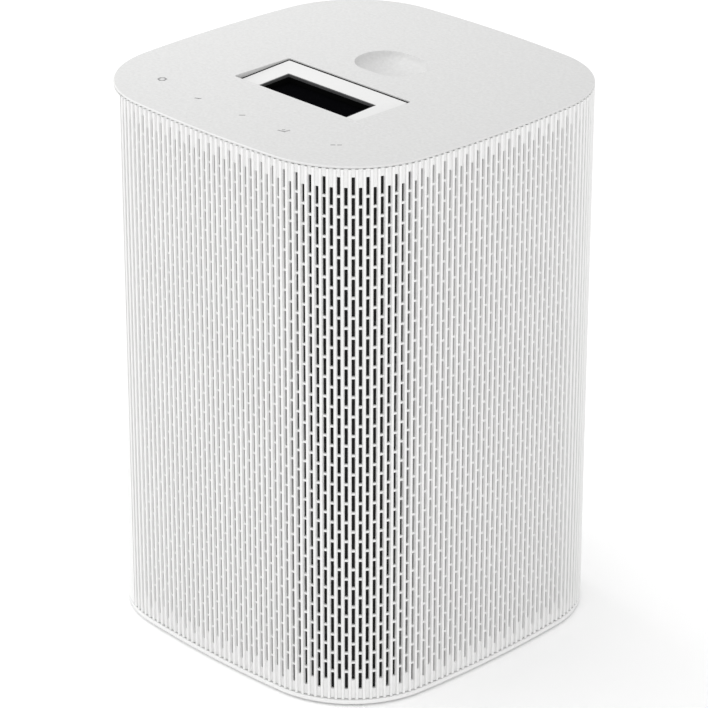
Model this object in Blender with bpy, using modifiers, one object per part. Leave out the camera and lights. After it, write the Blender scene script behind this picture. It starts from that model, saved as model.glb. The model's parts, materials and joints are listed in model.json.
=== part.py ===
"""Smart speaker with a built-in short-throw projection window: a ribbed tower with its inner parts.

Frame: metres, +Z up, origin at the middle of the footprint on the resting surface.
-Y is the side with the touch marks, -X is the side with the ports.
"""
import math

import bmesh
import bpy
from mathutils import Vector

MM = 0.001

# Overall size
WIDTH = 140 * MM
DEPTH = 140 * MM
HEIGHT = 198 * MM

# Housing outline: a square with round corners and gently bowed sides
CORNER_RADIUS = 37.5 * MM
SIDE_RADIUS = 430 * MM
CORNER_STEPS = 8
SIDE_STEPS = 4

# Fits
GAP = 0.3 * MM
SEAM = 0.3 * MM

# Sleeve and liner
SLEEVE_WALL = 1.8 * MM
RIB_PITCH = 2.43 * MM
RIB_SHARE = 0.55
GROOVE_DEPTH = 0.9 * MM
GRILLE_END_ANGLE = math.radians(111)
LINER_THICKNESS = 0.6 * MM
ARC_SPACING = 4 * MM

# Base
FOOT_DROP = 0.8 * MM
FOOT_HEIGHT = 1.5 * MM
FOOT_INSET = 7 * MM
FOOT_WIDTH = 6 * MM
RIM_THICKNESS = 1.6 * MM
FLOOR_THICKNESS = 2.0 * MM
SKIRT_WALL = 2.0 * MM
SKIRT_HEIGHT = 5 * MM
EDGE_ROUND = 0.4 * MM

# Top cover
TOP_EDGE = 0.8 * MM
TOP_THICKNESS = 3.2 * MM
WINDOW_LENGTH = 59.4 * MM
WINDOW_WIDTH = 25.6 * MM
WINDOW_Y = -15 * MM
DISH_RADIUS = 10.6 * MM
DISH_HALF_STRETCH = 3.1 * MM
DISH_DEPTH = 4.6 * MM
DISH_WALL = 1.6 * MM
DISH_X = -1.2 * MM
DISH_Y = 19.2 * MM
DISH_LIFT = 0.25 * MM

# Window tray, seal and glass
TRAY_GAP = 0.5 * MM
TRAY_DROP_FRONT = 1.7 * MM
TRAY_DROP_BACK = 0.4 * MM
TRAY_LIP = 2 * MM
TRAY_FLANGE = 2.0 * MM
OPENING_LENGTH = 42.8 * MM
OPENING_WIDTH = 15.2 * MM
OPENING_X = 0.3 * MM
OPENING_Y = -18.2 * MM
SHAFT_WALL = 2.0 * MM
SHAFT_DEPTH = 11 * MM
SEAL_WALL = 0.7 * MM
SEAL_TOP_DROP = 1.95 * MM
GLASS_DROP = 4.2 * MM
GLASS_THICKNESS = 1.6 * MM

# Touch keys
KEY_XS = (-44.2 * MM, -22 * MM, 0, 20 * MM, 41 * MM)
KEY_INSETS = (22.4 * MM, 18.8 * MM, 18.8 * MM, 18.8 * MM, 22.4 * MM)
KEY_GUIDE_RADIUS = 1.8 * MM
KEY_GUIDE_LENGTH = 1.4 * MM
BOARD_THICKNESS = 1.2 * MM

# Speaker box and drivers
WOOFER_RADIUS = 33 * MM
BOX_BOTTOM = 10 * MM
BOX_MARGIN = 6 * MM
BOX_WALL = 2.6 * MM
BOX_SIDE_INSET = 12 * MM
BOX_RIGHT_INSET = 10 * MM
BOX_LEFT_INSET = 22 * MM
BOX_CORNER = 26 * MM
BOSS_RISE = 1.5 * MM

# Tweeters
TWEETER_X = 32 * MM
TWEETER_RISE = 18 * MM
TWEETER_RADIUS = 9.6 * MM
TWEETER_FLANGE = 13 * MM
BAFFLE_INSET = 17 * MM
BAFFLE_HALF_LENGTH = 50 * MM

# Base screws and pads
SCREW_RADIUS = 1.5 * MM
SCREW_HEAD_RADIUS = 2.9 * MM
SCREW_HEAD_HEIGHT = 1.2 * MM
SCREW_REACH = 8 * MM
POST_RADIUS = 4 * MM
POST_INSET = 14 * MM
PAD_RADIUS = 5 * MM
PAD_HEIGHT = 3 * MM
DECK_THICKNESS = 2.4 * MM

# Projection engine
ENGINE_TOP_DROP = 24 * MM
ENGINE_FRONT = 6 * MM
ENGINE_BACK = 40 * MM
ENGINE_LEFT_INSET = 30 * MM
LENS_DROP = 48 * MM
LENS_RADIUS = 20 * MM
MIRROR_Y = -47 * MM
MIRROR_LENGTH = 64 * MM
MIRROR_WIDTH = 38 * MM
MIRROR_FOCUS = 60 * MM
MIRROR_TILT = math.radians(-62)
SINK_HALF_LENGTH = 33 * MM
SINK_FINS = 12
FIN_THICKNESS = 1.2 * MM

# Fan
FAN_SIZE = 50 * MM
FAN_THICKNESS = 14 * MM
FAN_BORE_RADIUS = 23.4 * MM
FAN_INSET = 9 * MM
FAN_RISE = 15 * MM
FAN_BLADES = 7
FAN_HUB_RADIUS = 11 * MM
SHAFT_RADIUS = 1.2 * MM
RUNNING_CLEARANCE = 0.05 * MM

# Electronics and ports
BOARD_INSET = 13 * MM
BOARD_SIDE_INSET = 32 * MM
FIXING_INSET = 40 * MM
PORT_ROW_WIDTH = 14 * MM
PORT_ROW_LENGTH = 68 * MM
PORT_ROW_BOTTOM = 16 * MM
PORT_PLATE_RIM = 3 * MM
PORT_PLATE_THICKNESS = 1.6 * MM
BUTTON_RADIUS = 4 * MM
BUTTON_TRAVEL = 0.8 * MM

FINISHES = {
    "white_plastic": ((0.86, 0.86, 0.84), 0.55, 0.0),
    "grained_plastic": ((0.84, 0.84, 0.83), 0.65, 0.0),
    "black_mesh": ((0.01, 0.01, 0.01), 0.9, 0.0),
    "dark_plastic": ((0.05, 0.05, 0.05), 0.5, 0.0),
    "dark_glass": ((0.01, 0.01, 0.012), 0.05, 0.0),
    "clear_lens": ((0.75, 0.8, 0.85), 0.03, 0.0),
    "rubber": ((0.12, 0.12, 0.12), 0.85, 0.0),
    "aluminium": ((0.7, 0.7, 0.72), 0.35, 1.0),
    "steel": ((0.55, 0.55, 0.57), 0.3, 1.0),
    "board": ((0.03, 0.16, 0.08), 0.5, 0.0),
    "light_guide": ((0.9, 0.9, 0.88), 0.25, 0.0),
    "cone_paper": ((0.06, 0.06, 0.065), 0.8, 0.0),
    "mirror_coat": ((0.92, 0.92, 0.93), 0.03, 1.0),
}

# A turned piece or a rod points its own +Z along one of these directions.
FACING = {
    "+Z": (0, 0, 0),
    "+X": (0, math.pi / 2, 0),
    "-X": (0, -math.pi / 2, 0),
    "+Y": (-math.pi / 2, 0, 0),
    "-Y": (math.pi / 2, 0, 0),
}


# ---------------------------------------------------------------- scene and objects

def clear_scene():
    for obj in list(bpy.data.objects):
        bpy.data.objects.remove(obj)


def new_collection(name):
    collection = bpy.data.collections.new(name)
    bpy.context.scene.collection.children.link(collection)
    return collection


def finish_material(node, finish):
    colour, roughness, metallic = FINISHES[finish]
    mat = bpy.data.materials.new(f"{node}_{finish}")
    mat.use_nodes = True
    shader = mat.node_tree.nodes["Principled BSDF"]
    shader.inputs["Base Color"].default_value = (*colour, 1)
    shader.inputs["Roughness"].default_value = roughness
    shader.inputs["Metallic"].default_value = metallic
    mat.diffuse_color = (*colour, 1)
    return mat


def settle(obj, name, finish):
    """Name an object and file it: a part with its finish, or a cutter when it has none."""
    obj.name = name
    for collection in list(obj.users_collection):
        collection.objects.unlink(obj)
    if finish is None:
        CUTTERS.objects.link(obj)
        obj.display_type = "WIRE"
        obj.hide_render = True
        return obj
    PARTS.objects.link(obj)
    obj.data.materials.clear()
    obj.data.materials.append(finish_material(name, finish))
    return obj


def solid_from(source, name, finish):
    """Make a welded mesh object out of a curve or an object with modifiers, and drop the source."""
    depsgraph = bpy.context.evaluated_depsgraph_get()
    mesh = bpy.data.meshes.new_from_object(source.evaluated_get(depsgraph))
    shape = bmesh.new()
    shape.from_mesh(mesh)
    bmesh.ops.remove_doubles(shape, verts=shape.verts, dist=1e-6)
    bmesh.ops.recalc_face_normals(shape, faces=shape.faces)
    shape.to_mesh(mesh)
    shape.free()
    mesh.shade_smooth()
    mesh.set_sharp_from_angle(angle=math.radians(35))
    obj = bpy.data.objects.new(name, mesh)
    bpy.context.scene.collection.objects.link(obj)
    obj.matrix_world = source.matrix_world.copy()
    bpy.data.objects.remove(source)
    return settle(obj, name, finish)


def flat_solid(name, loops, bottom, top, finish=None):
    """Extrude flat outlines along Z; loops inside the first one are holes."""
    curve = bpy.data.curves.new(name, "CURVE")
    curve.dimensions = "2D"
    curve.fill_mode = "BOTH"
    curve.extrude = (top - bottom) / 2
    for loop in loops:
        spline = curve.splines.new("POLY")
        spline.points.add(len(loop) - 1)
        spline.use_cyclic_u = True
        for point, (x, y) in zip(spline.points, loop):
            point.co = (x, y, 0, 1)
    source = bpy.data.objects.new(name + "_outline", curve)
    bpy.context.scene.collection.objects.link(source)
    source.location.z = (bottom + top) / 2
    bpy.context.view_layer.update()
    return solid_from(source, name, finish)


def swept(name, profile, finish):
    """Carry a profile of (inset, height) points round the housing outline and close both ends.

    The first and the last point lie on the two closing faces, the lower one and the upper one.
    """
    shape = bmesh.new()
    rings = [[shape.verts.new((x, y, level)) for x, y in closed_loop(inset)] for inset, level in profile]
    count = len(rings[0])
    for lower, upper in zip(rings, rings[1:]):
        for i in range(count):
            j = (i + 1) % count
            shape.faces.new((lower[i], lower[j], upper[j], upper[i]))
    shape.faces.new(list(reversed(rings[0])))
    shape.faces.new(rings[-1])
    mesh = bpy.data.meshes.new(name)
    shape.to_mesh(mesh)
    shape.free()
    mesh.shade_smooth()
    mesh.set_sharp_from_angle(angle=math.radians(35))
    obj = bpy.data.objects.new(name, mesh)
    bpy.context.scene.collection.objects.link(obj)
    return settle(obj, name, finish)


def turned(name, profile, place, facing, finish=None, steps=24):
    """Turn a profile of (radius, height) points, which runs down its outer side."""
    mesh = bpy.data.meshes.new(name + "_profile")
    closed = profile[0][0] > 0
    count = len(profile)
    edges = [(i, (i + 1) % count) for i in range(count if closed else count - 1)]
    mesh.from_pydata([(r, 0, z) for r, z in profile], edges, [])
    source = bpy.data.objects.new(name + "_profile", mesh)
    bpy.context.scene.collection.objects.link(source)
    screw = source.modifiers.new("turn", "SCREW")
    screw.steps = steps
    screw.render_steps = steps
    screw.use_merge_vertices = True
    screw.merge_threshold = 1e-6
    source.location = place
    source.rotation_euler = FACING[facing]
    bpy.context.view_layer.update()
    return solid_from(source, name, finish)


def block(name, low, high, finish=None, bevel=0):
    """A box from its lowest to its highest corner, with optional soft edges."""
    low, high = Vector(low), Vector(high)
    bpy.ops.mesh.primitive_cube_add(size=1, location=(low + high) / 2)
    obj = bpy.context.active_object
    obj.scale = high - low
    bpy.ops.object.transform_apply(location=False, rotation=False, scale=True)
    if bevel:
        soften(obj, bevel)
    return settle(obj, name, finish)


def soften(obj, width, segments=2):
    bevel = obj.modifiers.new("edges", "BEVEL")
    bevel.width = width
    bevel.segments = segments
    bevel.limit_method = "ANGLE"
    bevel.angle_limit = math.radians(50)


def rod(name, radius, start, length, facing, finish=None, sides=14):
    """A cylinder that starts at a point and runs along a direction."""
    bpy.ops.mesh.primitive_cylinder_add(vertices=sides, radius=radius, depth=length)
    obj = bpy.context.active_object
    obj.data.transform(obj.matrix_world)
    obj.data.shade_smooth()
    obj.data.set_sharp_from_angle(angle=math.radians(35))
    obj.rotation_euler = FACING[facing]
    direction = obj.rotation_euler.to_matrix() @ Vector((0, 0, 1))
    obj.location = Vector(start) + direction * length / 2
    return settle(obj, name, finish)


def combine(obj, tool, operation):
    boolean = obj.modifiers.new(tool.name, "BOOLEAN")
    boolean.operation = operation
    boolean.object = tool


def unite(obj, tool):
    combine(obj, tool, "UNION")


def subtract(obj, tool):
    combine(obj, tool, "DIFFERENCE")


# ---------------------------------------------------------------- outlines

def housing_arcs():
    """Arcs (centre x, centre y, radius, start angle, end angle) from the middle of the +X side."""
    lean_x = SIDE_RADIUS - WIDTH / 2
    lean_y = SIDE_RADIUS - DEPTH / 2
    half_gap = math.hypot(lean_x, lean_y) / 2
    rise = math.sqrt((SIDE_RADIUS - CORNER_RADIUS) ** 2 - half_gap ** 2)
    corner_x = -lean_x / 2 + rise * lean_y / (2 * half_gap)
    corner_y = -lean_y / 2 + rise * lean_x / (2 * half_gap)
    low = math.atan2(corner_y, corner_x + lean_x)
    high = math.atan2(corner_y + lean_y, corner_x)
    turn = math.pi
    return [
        (-lean_x, 0, SIDE_RADIUS, 0, low),
        (corner_x, corner_y, CORNER_RADIUS, low, high),
        (0, -lean_y, SIDE_RADIUS, high, turn - high),
        (-corner_x, corner_y, CORNER_RADIUS, turn - high, turn - low),
        (lean_x, 0, SIDE_RADIUS, turn - low, turn + low),
        (-corner_x, -corner_y, CORNER_RADIUS, turn + low, turn + high),
        (0, lean_y, SIDE_RADIUS, turn + high, 2 * turn - high),
        (corner_x, -corner_y, CORNER_RADIUS, 2 * turn - high, 2 * turn - low),
        (-lean_x, 0, SIDE_RADIUS, 2 * turn - low, 2 * turn),
    ]


def perimeter():
    return sum(radius * (end - start) for _, _, radius, start, end in housing_arcs())


def outline_point(distance, inset=0.0):
    """Point of the housing outline at a distance along it, moved inwards by an inset."""
    left = distance % perimeter()
    for cx, cy, radius, start, end in housing_arcs():
        length = radius * (end - start)
        if left <= length:
            break
        left -= length
    angle = start + left / radius
    reach = radius - inset
    return cx + reach * math.cos(angle), cy + reach * math.sin(angle)


def distance_at(angle):
    """Distance along the outline at which its normal points to an angle."""
    total = 0.0
    for _, _, radius, start, end in housing_arcs():
        if angle <= end:
            return total + radius * (angle - start)
        total += radius * (end - start)
    return total


def closed_loop(inset):
    points = []
    for cx, cy, radius, start, end in housing_arcs():
        corner = radius == CORNER_RADIUS
        steps = CORNER_STEPS if corner else max(1, round(SIDE_STEPS * (end - start) / SIDE_SPAN))
        for i in range(steps):
            angle = start + (end - start) * i / steps
            reach = radius - inset
            points.append((cx + reach * math.cos(angle), cy + reach * math.sin(angle)))
    return points


def open_band(start, end, outer, inner):
    """Closed outline of a band that follows the housing from one distance to another."""
    steps = math.ceil((end - start) / ARC_SPACING)
    stations = [start + (end - start) * i / steps for i in range(steps + 1)]
    outside = [outline_point(s, outer) for s in stations]
    inside = [outline_point(s, inner) for s in reversed(stations)]
    return outside + inside


def rounded_edge(level, inward):
    """Profile of the housing's round edge at a level: inward is 1 at the bottom and -1 at the top."""
    steps = (2, 1, 0) if inward > 0 else (0, 1, 2)
    points = []
    for i in steps:
        angle = math.pi / 4 * i
        inset = EDGE_ROUND * (1 - math.cos(angle))
        points.append((inset, level + inward * EDGE_ROUND * (1 - math.sin(angle))))
    return points


def round_rect(x0, x1, y0, y1, radius, steps=6):
    points = []
    corners = ((x1, y1, 0), (x0, y1, 1), (x0, y0, 2), (x1, y0, 3))
    for x, y, quarter in corners:
        cx = x - radius if x == x1 else x + radius
        cy = y - radius if y == y1 else y + radius
        for i in range(steps + 1):
            angle = math.pi / 2 * (quarter + i / steps)
            points.append((cx + radius * math.cos(angle), cy + radius * math.sin(angle)))
    return points


def circle(cx, cy, radius, steps=20):
    angles = [2 * math.pi * i / steps for i in range(steps)]
    return [(cx + radius * math.cos(a), cy + radius * math.sin(a)) for a in angles]


# ---------------------------------------------------------------- levels and places

clear_scene()
PARTS = new_collection("smart_speaker")
CUTTERS = new_collection("cutters")

SIDE_SPAN = 2 * housing_arcs()[0][4]
INNER_INSET = SLEEVE_WALL + GAP + LINER_THICKNESS + GAP
RIM_TOP = FOOT_DROP + RIM_THICKNESS
SLEEVE_BOTTOM = RIM_TOP + SEAM
SLEEVE_TOP = HEIGHT - TOP_EDGE - SEAM
COVER_UNDERSIDE = HEIGHT - TOP_THICKNESS
FLOOR_TOP = RIM_TOP + FLOOR_THICKNESS

COLUMNS_PER_QUARTER = round(perimeter() / 4 / RIB_PITCH)
PITCH = perimeter() / 4 / COLUMNS_PER_QUARTER
CORNER_DISTANCE = perimeter() / 8
LAST_RIB = CORNER_DISTANCE + PITCH * math.floor((distance_at(GRILLE_END_ANGLE) - CORNER_DISTANCE) / PITCH)
GRILLE_END = LAST_RIB + PITCH * RIB_SHARE / 2

BOX_HEIGHT = 2 * (WOOFER_RADIUS + BOX_MARGIN)
BOX_TOP = BOX_BOTTOM + BOX_HEIGHT
BOX_LEFT = -(WIDTH / 2 - BOX_LEFT_INSET)
BOX_RIGHT = WIDTH / 2 - BOX_RIGHT_INSET
BOX_HALF_DEPTH = DEPTH / 2 - BOX_SIDE_INSET
DRIVER_X = (BOX_LEFT + BOX_RIGHT) / 2
DRIVER_Z = (BOX_BOTTOM + BOX_TOP) / 2
BOSS_FACE = BOX_HALF_DEPTH + BOSS_RISE
POSTS = [
    (x, y)
    for x in (BOX_LEFT + POST_INSET + POST_RADIUS, BOX_RIGHT - POST_INSET)
    for y in (-(BOX_HALF_DEPTH - POST_INSET), BOX_HALF_DEPTH - POST_INSET)
]

DECK_BOTTOM = BOX_TOP + GAP + PAD_HEIGHT + GAP
DECK_TOP = DECK_BOTTOM + DECK_THICKNESS
ENGINE_BOTTOM = DECK_TOP + GAP
ENGINE_TOP = HEIGHT - ENGINE_TOP_DROP
ENGINE_LEFT = -(WIDTH / 2 - ENGINE_LEFT_INSET)
FAN_RIGHT = WIDTH / 2 - FAN_INSET
FAN_LEFT = FAN_RIGHT - FAN_THICKNESS
ENGINE_RIGHT = FAN_LEFT - 4 * MM
FAN_Z = DECK_TOP + FAN_RISE + FAN_SIZE / 2
LENS_Z = HEIGHT - LENS_DROP
BOARD_LEFT = -(WIDTH / 2 - BOARD_INSET) - BOARD_THICKNESS
BOARD_RIGHT = BOARD_LEFT + BOARD_THICKNESS
BOARD_FIXINGS = [
    (y, z)
    for y in (-(DEPTH / 2 - FIXING_INSET), DEPTH / 2 - FIXING_INSET)
    for z in (BOX_BOTTOM + 12 * MM, BOX_TOP - 10 * MM)
]
PANEL_INSIDE = -(WIDTH / 2 - SLEEVE_WALL)
PLATE_LEFT = PANEL_INSIDE + GAP
PLATE_RIGHT = PLATE_LEFT + PORT_PLATE_THICKNESS


# ---------------------------------------------------------------- housing

def build_sleeve():
    """Sleeve with vertical ribs outside, open along the port side."""
    count = round(2 * LAST_RIB / PITCH) + 1
    rib_half = PITCH * RIB_SHARE / 2
    floor_half = PITCH * (1 - RIB_SHARE) * 0.4
    outside = []
    for i in range(count):
        middle = -LAST_RIB + i * PITCH
        outside.append(outline_point(middle - rib_half))
        outside.append(outline_point(middle + rib_half))
        if i < count - 1:
            groove = middle + PITCH / 2
            outside.append(outline_point(groove - floor_half, GROOVE_DEPTH))
            outside.append(outline_point(groove + floor_half, GROOVE_DEPTH))
    band = open_band(-GRILLE_END, GRILLE_END, 0, SLEEVE_WALL)
    inside = band[len(band) // 2:]
    flat_solid("grille_sleeve", [outside + inside], SLEEVE_BOTTOM, SLEEVE_TOP, "white_plastic")


def build_liner():
    outer = SLEEVE_WALL + GAP
    band = open_band(-GRILLE_END, GRILLE_END, outer, outer + LINER_THICKNESS)
    flat_solid("dust_liner", [band], SLEEVE_BOTTOM, SLEEVE_TOP, "black_mesh")


def build_port_panel():
    start = GRILLE_END + SEAM
    band = open_band(start, perimeter() - start, 0, SLEEVE_WALL)
    panel = flat_solid("port_panel", [band], SLEEVE_BOTTOM, SLEEVE_TOP, "white_plastic")
    half = PORT_ROW_WIDTH / 2
    slot = flat_solid(
        "port_opening_cutter",
        [round_rect(PORT_ROW_BOTTOM, PORT_ROW_BOTTOM + PORT_ROW_LENGTH, -half, half, half * 0.6)],
        -6 * MM, 6 * MM)
    slot.rotation_euler = (0, -math.pi / 2, 0)
    slot.location = (-WIDTH / 2, 0, 0)
    subtract(panel, slot)


def build_base():
    """Base with its rim, foot groove and skirt, fastened from below."""
    skirt_out = INNER_INSET + GAP
    skirt_in = skirt_out + SKIRT_WALL
    groove_out = FOOT_INSET - GAP
    groove_in = FOOT_INSET + FOOT_WIDTH + GAP
    base = swept("base_tray", [
        (groove_in, FOOT_DROP), (groove_in, FOOT_HEIGHT + GAP), (groove_out, FOOT_HEIGHT + GAP),
        (groove_out, FOOT_DROP), *rounded_edge(FOOT_DROP, 1), *rounded_edge(RIM_TOP, -1),
        (INNER_INSET, RIM_TOP), (INNER_INSET, FLOOR_TOP), (skirt_out, FLOOR_TOP),
        (skirt_out, FLOOR_TOP + SKIRT_HEIGHT), (skirt_in, FLOOR_TOP + SKIRT_HEIGHT), (skirt_in, FLOOR_TOP),
    ], "white_plastic")
    head_top = FOOT_DROP + 0.3 * MM + SCREW_HEAD_HEIGHT
    for i, (x, y) in enumerate(POSTS):
        post = rod(f"base_post_tool_{i}", POST_RADIUS, (x, y, RIM_TOP), BOX_BOTTOM - GAP - RIM_TOP, "+Z",
                   sides=16)
        unite(base, post)
        hole = rod(f"base_hole_cutter_{i}", SCREW_RADIUS + GAP, (x, y, -1 * MM), BOX_BOTTOM + 2 * MM, "+Z")
        subtract(base, hole)
        seat = rod(f"base_seat_cutter_{i}", SCREW_HEAD_RADIUS + GAP, (x, y, -1 * MM),
                   head_top + GAP + 1 * MM, "+Z")
        subtract(base, seat)
        head_bottom = head_top - SCREW_HEAD_HEIGHT
        profile = [
            (0, BOX_BOTTOM + SCREW_REACH),
            (SCREW_RADIUS, BOX_BOTTOM + SCREW_REACH),
            (SCREW_RADIUS, head_top),
            (SCREW_HEAD_RADIUS, head_top),
            (SCREW_HEAD_RADIUS, head_bottom),
            (SCREW_RADIUS, head_bottom),
            (SCREW_RADIUS * 0.6, head_bottom + 0.7 * MM),
            (0, head_bottom + 0.7 * MM),
        ]
        turned(f"base_screw_{i + 1}", profile, (x, y, 0), "+Z", "steel", steps=12)
    foot = [closed_loop(FOOT_INSET), closed_loop(FOOT_INSET + FOOT_WIDTH)]
    flat_solid("foot_ring", foot, 0, FOOT_HEIGHT, "rubber")


def dish_cutter():
    """Stretched round dish: a squashed sphere pulled along X at the middle."""
    bpy.ops.mesh.primitive_uv_sphere_add(segments=24, ring_count=12, radius=1, location=(0, 0, 0))
    obj = bpy.context.active_object
    for vertex in obj.data.vertices:
        stretch = DISH_HALF_STRETCH * max(-1, min(1, vertex.co.x * 4))
        vertex.co.x = vertex.co.x * DISH_RADIUS + stretch
        vertex.co.y *= DISH_RADIUS
        vertex.co.z *= DISH_DEPTH
    obj.location = (DISH_X, DISH_Y, HEIGHT + DISH_LIFT)
    return settle(obj, "dish_cutter", None)


def build_top_cover():
    skirt_out = INNER_INSET + GAP
    skirt_in = skirt_out + SKIRT_WALL
    skirt_end = COVER_UNDERSIDE - SKIRT_HEIGHT
    cover = swept("top_cover", [
        (skirt_in, COVER_UNDERSIDE), (skirt_in, skirt_end), (skirt_out, skirt_end),
        (skirt_out, COVER_UNDERSIDE), (INNER_INSET, COVER_UNDERSIDE), (INNER_INSET, HEIGHT - TOP_EDGE),
        (0, HEIGHT - TOP_EDGE), *rounded_edge(HEIGHT, -1),
    ], "grained_plastic")
    bowl_radius = DISH_RADIUS + DISH_WALL
    bowl_half = DISH_HALF_STRETCH + bowl_radius
    bowl = flat_solid(
        "dish_bowl_tool",
        [round_rect(DISH_X - bowl_half, DISH_X + bowl_half, DISH_Y - bowl_radius, DISH_Y + bowl_radius,
                    bowl_radius * 0.99)],
        HEIGHT - DISH_DEPTH - DISH_WALL, COVER_UNDERSIDE + 0.5 * MM)
    unite(cover, bowl)
    subtract(cover, dish_cutter())
    half_x, half_y = WINDOW_LENGTH / 2, WINDOW_WIDTH / 2
    window = flat_solid(
        "window_cutter",
        [round_rect(-half_x, half_x, WINDOW_Y - half_y, WINDOW_Y + half_y, 0.8 * MM, steps=3)],
        COVER_UNDERSIDE - 2 * MM, HEIGHT + 1 * MM)
    subtract(cover, window)


def build_window():
    """Sloped tray in the window, with a shaft down to the glass."""
    half_x = WINDOW_LENGTH / 2 - TRAY_GAP
    half_y = WINDOW_WIDTH / 2 - TRAY_GAP
    tray = block("window_tray", (-half_x, WINDOW_Y - half_y, COVER_UNDERSIDE - 1 * MM),
                 (half_x, WINDOW_Y + half_y, HEIGHT - 0.2 * MM), "white_plastic")
    fall = math.atan2(TRAY_DROP_FRONT - TRAY_DROP_BACK, 2 * half_y)
    slope = block("tray_slope_cutter", (-half_x - 5 * MM, -30 * MM, 0), (half_x + 5 * MM, 30 * MM, 20 * MM))
    slope.location = Vector((0, WINDOW_Y, HEIGHT - (TRAY_DROP_FRONT + TRAY_DROP_BACK) / 2))
    slope.location += Vector((0, -math.sin(fall), math.cos(fall))) * 10 * MM
    slope.rotation_euler = (fall, 0, 0)
    subtract(tray, slope)
    flange_top = COVER_UNDERSIDE - GAP
    flange = block(
        "tray_flange_tool",
        (-half_x - TRAY_LIP, WINDOW_Y - half_y - TRAY_LIP, flange_top - TRAY_FLANGE),
        (half_x + TRAY_LIP, WINDOW_Y + half_y + TRAY_LIP, flange_top))
    unite(tray, flange)
    shaft_x = OPENING_LENGTH / 2 + SHAFT_WALL
    shaft_y = OPENING_WIDTH / 2 + SHAFT_WALL
    shaft = block(
        "tray_shaft_tool",
        (OPENING_X - shaft_x, OPENING_Y - shaft_y, HEIGHT - SHAFT_DEPTH),
        (OPENING_X + shaft_x, OPENING_Y + shaft_y, flange_top - 1 * MM))
    unite(tray, shaft)
    hole = block(
        "tray_hole_cutter",
        (OPENING_X - OPENING_LENGTH / 2, OPENING_Y - OPENING_WIDTH / 2, HEIGHT - SHAFT_DEPTH - 2 * MM),
        (OPENING_X + OPENING_LENGTH / 2, OPENING_Y + OPENING_WIDTH / 2, HEIGHT + 2 * MM))
    subtract(tray, hole)

    def opening_loop(inset):
        x, y = OPENING_LENGTH / 2 - inset, OPENING_WIDTH / 2 - inset
        return round_rect(OPENING_X - x, OPENING_X + x, OPENING_Y - y, OPENING_Y + y, 0.3 * MM, steps=1)

    glass_top = HEIGHT - GLASS_DROP
    flat_solid("window_seal", [opening_loop(GAP), opening_loop(GAP + SEAL_WALL)],
               glass_top + GAP, HEIGHT - SEAL_TOP_DROP, "dark_plastic")
    flat_solid("window_glass", [opening_loop(GAP)], glass_top - GLASS_THICKNESS, glass_top, "dark_glass")


def build_touch_keys():
    board_top = COVER_UNDERSIDE - GAP - KEY_GUIDE_LENGTH - GAP
    edge = DEPTH / 2
    block("touch_board", (KEY_XS[0] - 4 * MM, -edge + min(KEY_INSETS) - 4 * MM, board_top - BOARD_THICKNESS),
          (KEY_XS[-1] + 4 * MM, -edge + max(KEY_INSETS) + 3 * MM, board_top), "board", bevel=0.2 * MM)
    for i, (x, inset) in enumerate(zip(KEY_XS, KEY_INSETS)):
        rod(f"key_light_guide_{i + 1}", KEY_GUIDE_RADIUS, (x, -edge + inset, board_top + GAP),
            KEY_GUIDE_LENGTH, "+Z", "light_guide", sides=12)


# ---------------------------------------------------------------- speaker

def build_speaker_box():
    def box_loop(inset):
        return round_rect(BOX_LEFT + inset, BOX_RIGHT - inset, -BOX_HALF_DEPTH + inset,
                          BOX_HALF_DEPTH - inset, BOX_CORNER - inset)

    box = flat_solid("speaker_box", [box_loop(0)], BOX_BOTTOM, BOX_TOP, "dark_plastic")
    boss_radius = WOOFER_RADIUS + 2 * MM
    for side, facing in ((-1, "-Y"), (1, "+Y")):
        boss_foot = (DRIVER_X, side * (BOX_HALF_DEPTH - 8 * MM), DRIVER_Z)
        boss = rod(f"box_boss_tool{facing}", boss_radius, boss_foot, 8 * MM + BOSS_RISE, facing, sides=28)
        unite(box, boss)
    cavity = flat_solid("box_cavity_cutter", [box_loop(BOX_WALL)], BOX_BOTTOM + BOX_WALL, BOX_TOP - BOX_WALL)
    subtract(box, cavity)
    throat = rod("box_throat_cutter", WOOFER_RADIUS * 0.9, (DRIVER_X, -DEPTH, DRIVER_Z), 2 * DEPTH, "+Y",
                 sides=28)
    subtract(box, throat)
    for i, (x, y) in enumerate(POSTS):
        unite(box, rod(f"box_post_tool_{i}", POST_RADIUS, (x, y, BOX_BOTTOM + 1 * MM), 11 * MM, "+Z"))
        subtract(box, rod(f"box_hole_cutter_{i}", SCREW_RADIUS + GAP, (x, y, BOX_BOTTOM - 1 * MM),
                          SCREW_REACH + 2 * MM, "+Z"))
    for i, (y, z) in enumerate(BOARD_FIXINGS):
        reach = BOX_LEFT - BOARD_RIGHT - GAP
        unite(box, rod(f"board_post_tool_{i}", 3 * MM, (BOX_LEFT + 1 * MM, y, z), reach + 1 * MM, "-X"))
        subtract(box, rod(f"board_post_cutter_{i}", SCREW_RADIUS + GAP, (BOARD_RIGHT, y, z), 6 * MM, "+X"))


def build_surround(name, place, facing):
    """Half-roll ring between the cone and the frame."""
    r = WOOFER_RADIUS
    roll_steps = 3
    roll_middle, roll_half = 0.76 * r, 0.066 * r
    thick = 0.7 * MM
    lip_top = 1.8 * MM + GAP + thick
    points = [(0.94 * r, lip_top), (0.94 * r, lip_top - thick)]
    for i in range(roll_steps + 1):
        angle = math.pi * i / roll_steps
        points.append((roll_middle + roll_half * math.cos(angle) * 0.9,
                       lip_top - thick + (roll_half - thick) * math.sin(angle)))
    for i in range(roll_steps + 1):
        angle = math.pi * (1 - i / roll_steps)
        points.append((roll_middle + (roll_half + thick / 2) * math.cos(angle),
                       lip_top + (roll_half - thick / 2) * math.sin(angle)))
    turned(name, points, place, facing, "rubber", steps=28)


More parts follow.
